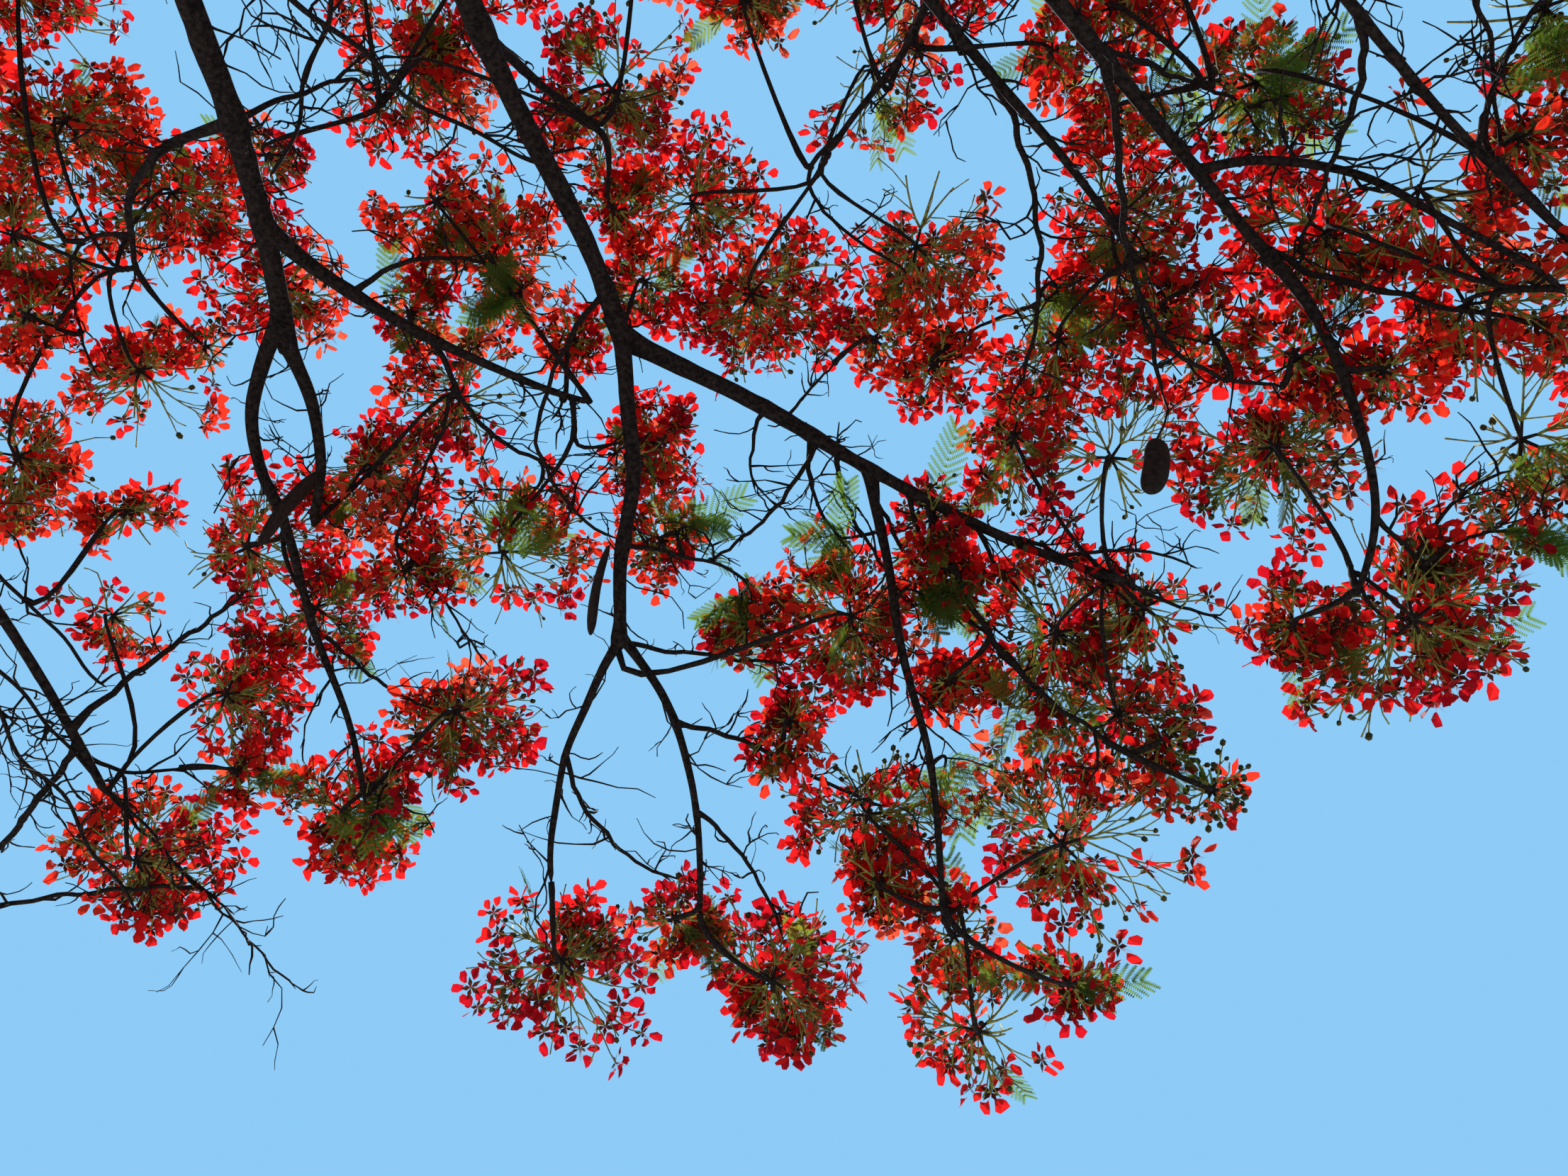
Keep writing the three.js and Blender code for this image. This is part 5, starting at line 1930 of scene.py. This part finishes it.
@dataclass(frozen=True)
class Studio:
    """Pale floor, plain soft light and the camera at the photograph's place."""

    eye: Place = (1.4, 2.0, 1.6)
    tilt: float = 50.0
    lens: float = 27.0
    sensor: float = 36.0
    shape: float = 0.75
    margin: float = 0.1
    sky: Colour = (0.27, 0.6, 0.93)
    sky_strength: float = 1.0
    sun_bearing: float = -20.0
    sun_height: float = 61.0
    sun_strength: float = 6.2
    sun_softness: float = 5.0
    floor_size: float = 60.0
    floor_colour: Colour = (0.34, 0.33, 0.31)
    floor_roughness: float = 0.9

    def shows(self, point: np.ndarray) -> bool:
        """Return whether a point lies in the picture, or close beside it."""
        away = point - np.array(self.eye)
        tilt = math.radians(self.tilt)
        depth = away[1] * math.cos(tilt) + away[2] * math.sin(tilt)
        over = away[2] * math.cos(tilt) - away[1] * math.sin(tilt)
        half = self.sensor / (2 * self.lens)
        inside = abs(away[0]) < depth * (half + self.margin)
        return bool(depth > 0 and inside and abs(over) < depth * (half * self.shape + self.margin))

    def floor(self) -> None:
        """Lay the floor."""
        select_nothing()
        bpy.ops.mesh.primitive_plane_add(size=self.floor_size)
        floor = bpy.context.object
        floor.name = "floor"
        board = Board("floor")
        shader = board.add(
            "ShaderNodeBsdfPrincipled", Base_Color=(*self.floor_colour, 1), Roughness=self.floor_roughness,
        )
        floor.data.materials.append(board.finish(shader.outputs["BSDF"]))

    def light(self) -> None:
        """Light the scene: a plain pale sky and a soft sun that shines through the crown."""
        scene = bpy.context.scene
        world = bpy.data.worlds.new("sky")
        world.use_nodes = True
        back = world.node_tree.nodes["Background"]
        back.inputs["Color"].default_value = (*self.sky, 1)
        back.inputs["Strength"].default_value = self.sky_strength
        scene.world = world
        sun = bpy.data.lights.new("sun", "SUN")
        sun.energy = self.sun_strength
        sun.angle = math.radians(self.sun_softness)
        lamp = bpy.data.objects.new("sun", sun)
        lamp.rotation_euler = (math.radians(90 - self.sun_height), 0, math.radians(180 - self.sun_bearing))
        scene.collection.objects.link(lamp)
        scene.view_settings.view_transform = "Standard"

    def camera(self) -> None:
        """Set the camera where the photograph was taken from."""
        data = bpy.data.cameras.new("camera")
        data.lens = self.lens
        data.sensor_width = self.sensor
        camera = bpy.data.objects.new("camera", data)
        camera.location = self.eye
        camera.rotation_euler = (math.radians(90 + self.tilt), 0, 0)
        bpy.context.scene.collection.objects.link(camera)
        bpy.context.scene.camera = camera


class Tree:
    """The whole tree: its trunk, limbs, masses and side branches, grown by rule."""

    # Painted shade: masses that stand in shade get more crimson and fewer bright reds than the usual shares.
    PAINTED_SHADE_MASSES = (
        "blossom_low", "blossom_long", "blossom_right_low", "blossom_rim_middle", "blossom_rim_right",
        "blossom_inner", "blossom_top",
    )
    PAINTED_SHADE_SHARES = (0.42, 0.36, 0.16, 0.06)
    TINT_SHARES = (0.44, 0.2, 0.26, 0.1)
    LEAFY_BUDS = 0.7
    FILLER = (0.44, -0.22)
    FILLER_AT = 0.97

    def __init__(self, studio: Studio) -> None:
        """Grow the limbs, the masses, the side branches and the loose clumps.

        Args:
            studio: Tells which clumps the camera sees.
        """
        self.studio = studio
        self.trunk = Trunk()
        self.limbs: dict[str, Limb] = {}
        self.grow_limbs(SEEN_LIMBS + FAR_LIMBS, LIMB_SEED, LIMB_SWAY)
        self.masses = self.grow_masses(SEEN_MASSES + FarMasses().rows(self.limbs), 0)
        far_branches = FarBranches().rows(self.limbs)
        self.grow_limbs(SEEN_BRANCHES + far_branches, BRANCH_SEED, BRANCH_SWAY)
        fillers = [
            MassRow("hidden", row.name, [(*row.tip[:2], *self.FILLER)], self.FILLER_AT, side=Side.FAR)
            for row in far_branches if not studio.shows(place_at(*row.tip))
        ]
        self.loose = self.grow_masses(LOOSE_CLUMPS + fillers, LOOSE_ORDER)
        self.limb_names = {
            Side.SEEN: [row.name for row in SEEN_LIMBS], Side.FAR: [row.name for row in FAR_LIMBS],
        }
        self.branch_names = {
            Side.SEEN: [row.name for row in SEEN_BRANCHES], Side.FAR: [row.name for row in far_branches],
        }

    def grow_limbs(self, rows: Sequence[LimbRow], seed: int, sway: Sway) -> None:
        """Add limbs, each from its parent.

        Args:
            rows: The limbs' rows, parents first.
            seed: Seed of the first one.
            sway: How they wander.
        """
        for order, row in enumerate(rows):
            parent = self.trunk.line if row.parent == "trunk" else self.limbs[row.parent].line
            self.limbs[row.name] = Limb(row, parent, seed + order, sway)

    def grow_masses(self, rows: Sequence[MassRow], first: int) -> list[Mass]:
        """Return the masses of the rows, whose numbers start from the order of the first."""
        return [MassRule().grow(row, self.limbs[row.limb], first + order) for order, row in enumerate(rows)]

    def point_on(self, limb: str, share: float) -> np.ndarray:
        """Return the point at a share of a limb's length."""
        return self.limbs[limb].line(share)

    def clumps(self, side: Side) -> list[tuple[Mass, Clump]]:
        """Return the clumps in the picture, or all others, each with its mass."""
        return [
            (mass, clump) for mass in self.masses + self.loose for clump in mass.clumps
            if (mass.row.side is Side.SEEN or self.studio.shows(clump.hub)) == (side is Side.SEEN)
        ]

    def blossom(self, side: Side) -> Blossom:
        """Return the flowers, buds and stalks of one side's clumps, gathered."""
        rule = SIDE_RULES[side]
        gaps = SkyGaps(self.studio.eye) if side is Side.SEEN else None
        blossom = Blossom(rule.racemes, rule.blossom_seed, gaps)
        tints = list(Tint)
        for mass, clump in self.clumps(side):
            shares = self.PAINTED_SHADE_SHARES if mass.row.name in self.PAINTED_SHADE_MASSES else self.TINT_SHARES
            dealt = blossom.random.choice(len(tints), len(clump.sprays), p=shares)
            buds = self.LEAFY_BUDS if mass.row.leafy else mass.row.buds
            blossom.dress(clump, [tints[index] for index in dealt], buds)
        return blossom


@dataclass(frozen=True)
class Wood:
    """The pieces under bark: trunk, limbs, side branches, the masses' twigs and dead twigs."""

    outer_boughs: tuple[str, ...] = ("bough_east", "bough_south")
    twig_points: int = 10
    twig_sides: int = 7
    twig_thickness: float = 0.62
    twig_knobs: Pair = (0.85, 1.25)

    def dress(self, tree: Tree) -> None:
        """Make the pieces.

        Args:
            tree: The tree.
        """
        bark, far_bark, thin_bark = [
            kind.material() for kind in (Kinds.BARK, Kinds.FAR_BARK, Kinds.THIN_BARK)
        ]
        trunk = tree.trunk.dress(bark)
        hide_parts("trunk")
        for order, name in enumerate(tree.limb_names[Side.SEEN] + tree.limb_names[Side.FAR]):
            # The outer boughs get far_bark, whose painted shade aloft is lighter.
            finish = far_bark if name.startswith(self.outer_boughs) else bark
            piece = self.limb(tree, LimbWood(), name, order).piece(f"{name}_bark", finish)
            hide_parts(name)
        for side in Side:
            for kind, shape in self.thin_parts(tree, side).items():
                shape.piece(f"{kind}_{side.value}", thin_bark)

    def limb(self, tree: Tree, rule: LimbWood, name: str, order: int) -> Shape:
        """Return one limb's wood, swollen where others leave it.

        Args:
            tree: The tree.
            rule: How the wood is shaped.
            name: The limb's name.
            order: Picks its relief.

        Returns:
            The limb's closed tube.
        """
        limb = tree.limbs[name]
        forks = [other.row.at for other in tree.limbs.values() if other.row.parent == name]
        parent = tree.limbs.get(limb.row.parent)
        parent_radius = float(parent.radius(limb.row.at)) if parent else tree.trunk.head_radius
        return rule.shape(limb, parent_radius, forks, order)

    def thin_parts(self, tree: Tree, side: Side) -> dict[str, Shape]:
        """Return the finer wood of one side.

        Args:
            tree: The tree.
            side: The part of the crown.

        Returns:
            Branches, dead twigs and the masses' twigs, each kind joined, by its name.
        """
        rule = SIDE_RULES[side]
        random = np.random.default_rng(rule.wood_seed)
        names = tree.branch_names[side]
        limbs = [tree.limbs[name] for name in tree.limb_names[side] + names]
        lines, radii = DeadTwigs(rule.dead_twigs_per_metre).lines(limbs, random)
        return {
            "branches": Shape.join([
                self.limb(tree, BRANCH_WOOD, name, order) for order, name in enumerate(names)
            ]),
            "dead_twigs": rods(lines, radii, rule.dead_twig_sides),
            "twigs": self.mass_twigs(tree, side, random),
        }

    def mass_twigs(self, tree: Tree, side: Side, random: Random) -> Shape:
        """Return the stems and the clumps' twigs of one side of the crown.

        Args:
            tree: The tree.
            side: The part of the crown.
            random: Row of numbers.

        Returns:
            All of them as one shape.
        """
        share = np.linspace(0, 1, self.twig_points)
        masses = [mass for mass in tree.masses + tree.loose if mass.row.side is side]
        twigs = [twig for mass in masses for twig in mass.twigs()]
        lines = [twig.line(share) for twig in twigs]
        knobs = [between(*self.twig_knobs, random.random(len(share))) * self.twig_thickness for _ in twigs]
        radii = [between(twig.thick, twig.thin, share) * knob for twig, knob in zip(twigs, knobs)]
        return rods(np.array(lines), np.array(radii), self.twig_sides)


@dataclass(frozen=True)
class Crown:
    """The joined pieces of blossom: racemes, stalks, petals, sepals, stamens and buds."""

    raceme_radii: Pair = (0.0042, 0.0026)
    stalk_radii: Place = (0.0026, 0.002, 0.0028)
    stalk_sides: int = 3
    twig_radii: Pair = (0.0056, 0.0042)
    twig_sides: int = 5
    bud_radius: float = 0.0098
    bud_length: float = 1.25

    def dress(self, tree: Tree, side: Side) -> None:
        """Make the pieces of one part of the crown.

        Args:
            tree: The tree.
            side: The part of the crown.
        """
        blossom = tree.blossom(side)
        radii = np.linspace(*self.raceme_radii, blossom.rule.points)
        racemes = rods(np.array(blossom.racemes), radii, SIDE_RULES[side].raceme_sides)
        piece = racemes.piece(f"racemes_{side.value}", Kinds.STALK.material())
        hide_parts(*[mass.row.name for mass in tree.masses if mass.row.side is side])
        lines, radii = np.array(blossom.stalks), np.array(self.stalk_radii)
        if side is Side.FAR:
            lines, radii = lines[:, ::2], radii[::2]
        stalks = rods(lines, radii, self.stalk_sides)
        stalks.piece(f"stalks_{side.value}", Kinds.STALK.material())
        lines = np.array(blossom.twigs)
        twigs = rods(lines, np.linspace(*self.twig_radii, lines.shape[1]), self.twig_sides)
        twigs.piece(f"spray_twigs_{side.value}", Kinds.THIN_BARK.material())
        self.dress_flowers(blossom, side)
        buds = blossom.buds.filled([self.bud()], blossom.random)
        buds.piece(f"buds_{side.value}", Kinds.BUD.material())

    def dress_flowers(self, blossom: Blossom, side: Side) -> None:
        """Make the petals of each red, the sepals and the stamens.

        Args:
            blossom: Where the flowers stand.
            side: The part of the crown.
        """
        flower = Flower()
        random = blossom.random
        variants = [flower.petals(side, random) for _ in range(flower.variants)]
        everywhere = Sites()
        for tint, sites in blossom.flowers.items():
            name = f"petals_{tint.name.lower()}_{side.value}"
            piece = sites.filled(variants, random).piece(name, tint.finish().material(), False)
            everywhere.rows += sites.rows
        sepals = everywhere.filled([flower.sepal_star(side)], random)
        sepals.piece(f"sepals_{side.value}", Kinds.SEPAL.material(), False)
        if side is Side.SEEN:
            stamens = everywhere.filled([flower.stamen_tuft(random)], random)
            stamens.piece(f"stamens_{side.value}", Kinds.STAMEN.material())

    def bud(self) -> Shape:
        """Return one bud, longer than wide."""
        select_nothing()
        bpy.ops.mesh.primitive_ico_sphere_add(subdivisions=1, radius=self.bud_radius)
        bud = taken_shape()
        bud.points[:, 2] *= self.bud_length
        return bud


@dataclass(frozen=True)
class Foliage:
    """Where the leaves stand: in tufts at the ends of twigs, and singly among the sprays."""

    twig_prefix: str = "leaf_twig"
    far_step: int = 2
    tuft: int = 10
    tuft_length: float = 0.5
    tuft_spread: float = 0.75
    leafy_spray: int = 2
    spray_place: Pair = (0.1, 0.45)
    spray_spread: float = 0.6
    spin: float = 0.8
    lit_share: float = 0.28
    reach_checked: float = 0.1

    def dress(self, tree: Tree, side: Side) -> None:
        """Make the leaves of one part of the crown.

        Args:
            tree: The tree.
            side: The part of the crown.
        """
        rule = SIDE_RULES[side]
        near = side is Side.SEEN
        random = np.random.default_rng(rule.leaf_seed)
        leaves: dict[Kinds, list[Shape]] = {Kinds.LEAF: [], Kinds.LEAF_LIT: []}
        gaps = SkyGaps(tree.studio.eye)
        for start, way in self.places(tree, side, random):
            if near and gaps.hold(start + way * self.reach_checked):
                continue
            length = between(*rule.leaf.length, random.random())
            leaf = rule.leaf.shape(length, random) if near else rule.leaf.ribbons(length)
            # A share of the leaves, dealt out at random, get leaf_lit: painted light.
            finish = Kinds.LEAF_LIT if random.random() < self.lit_share else Kinds.LEAF
            leaves[finish].append(leaf.placed(start, way, random.normal() * self.spin))
        for finish, shapes in leaves.items():
            name = f"{finish.name.lower()}_{side.value}"
            Shape.join(shapes).piece(name, finish.material(), False)

    def places(self, tree: Tree, side: Side, random: Random) -> list[tuple[np.ndarray, np.ndarray]]:
        """Return where each leaf starts and which way it runs.

        Args:
            tree: The tree.
            side: The part of the crown.
            random: Row of numbers.

        Returns:
            Pairs of a point and a direction.
        """
        names = tree.branch_names[side]
        if side is Side.SEEN:
            names = [name for name in names if name.startswith(self.twig_prefix)]
        else:
            names = names[::self.far_step]
        places = []
        for limb in [tree.limbs[name] for name in names]:
            for index in range(self.tuft):
                share = 1 - self.tuft_length * index / self.tuft
                way = unit(limb.direction(share) + self.tuft_spread * random.normal(size=3))
                places.append((limb.line(share), way))
        for mass, clump in tree.clumps(side):
            for spray in clump.sprays:
                count = int(random.random() < SIDE_RULES[side].leaf_share)
                if mass.row.leafy:
                    count += self.leafy_spray
                for _ in range(count):
                    share = between(*self.spray_place, random.random())
                    way = unit(spray.along + self.spray_spread * random.normal(size=3))
                    places.append((clump.hub + spray.along * spray.length * share, way))
        return places


@dataclass(frozen=True)
class Pods:
    """The hanging seed pods: three in the picture, and long ones on the far branches.

    A place is a limb's name and a share of its length.
    """

    broad: Pod = Pod(0.26, 0.068, 0.034, 1, curve=0.03)
    long: Pod = Pod(0.42, 0.048, 0.014, 11, curve=0.05)
    wide: Pod = Pod(0.38, 0.07, 0.016, 9, curve=0.05)
    broad_place: tuple[str, float] = ("right_hang", 1)
    stalk_way: Place = (-0.3, 0, -0.95)
    stalk_length: float = 0.24
    stalk_bow: tuple[float, ...] = (0, 0.02, 0.015, 0)
    stalk_radius: float = 0.0035
    stalk_sides: int = 6
    long_place: tuple[str, float] = ("limb_down", 0.68)
    long_off: float = 0.045
    wide_place: tuple[str, float] = ("limb_left_straight", 0.72)
    wide_lean: float = 0.2
    far_first: int = 3
    far_step: int = 9
    far_at: float = 0.96
    first_spin: float = math.pi / 2

    def dress(self, tree: Tree) -> None:
        """Make the pods, all as one piece.

        Args:
            tree: The tree.
        """
        down = unit(np.array(self.stalk_way))
        end = tree.point_on(*self.broad_place)
        bow = np.outer(self.stalk_bow, EAST)
        stalk = np.linspace(end, end + down * self.stalk_length, len(bow)) + bow
        places = [
            (self.broad, stalk[-1], -down),
            (self.long, tree.point_on(*self.long_place) - EAST * self.long_off, UP),
            (self.wide, tree.point_on(*self.wide_place), unit(UP + EAST * self.wide_lean)),
        ]
        far_names = tree.branch_names[Side.FAR][self.far_first::self.far_step]
        places += [(self.long, tree.point_on(name, self.far_at), UP) for name in far_names]
        shapes = [rods(stalk[None], np.full(len(bow), self.stalk_radius), self.stalk_sides)]
        for index, (pod, place, up) in enumerate(places):
            shapes.append(pod.shape().placed(place, up, self.first_spin + index * GOLDEN_ANGLE))
        Shape.join(shapes).piece("pods", Kinds.POD.material())


def main() -> None:
    """Build the tree, dress it and set its studio."""
    logging.basicConfig(level=logging.INFO, format="%(message)s")
    studio = Studio()
    studio.camera()
    studio.floor()
    studio.light()
    tree = Tree(studio)
    Wood().dress(tree)
    for side in Side:
        Crown().dress(tree, side)
        Foliage().dress(tree, side)
    Pods().dress(tree)


if __name__ == "__main__":
    main()
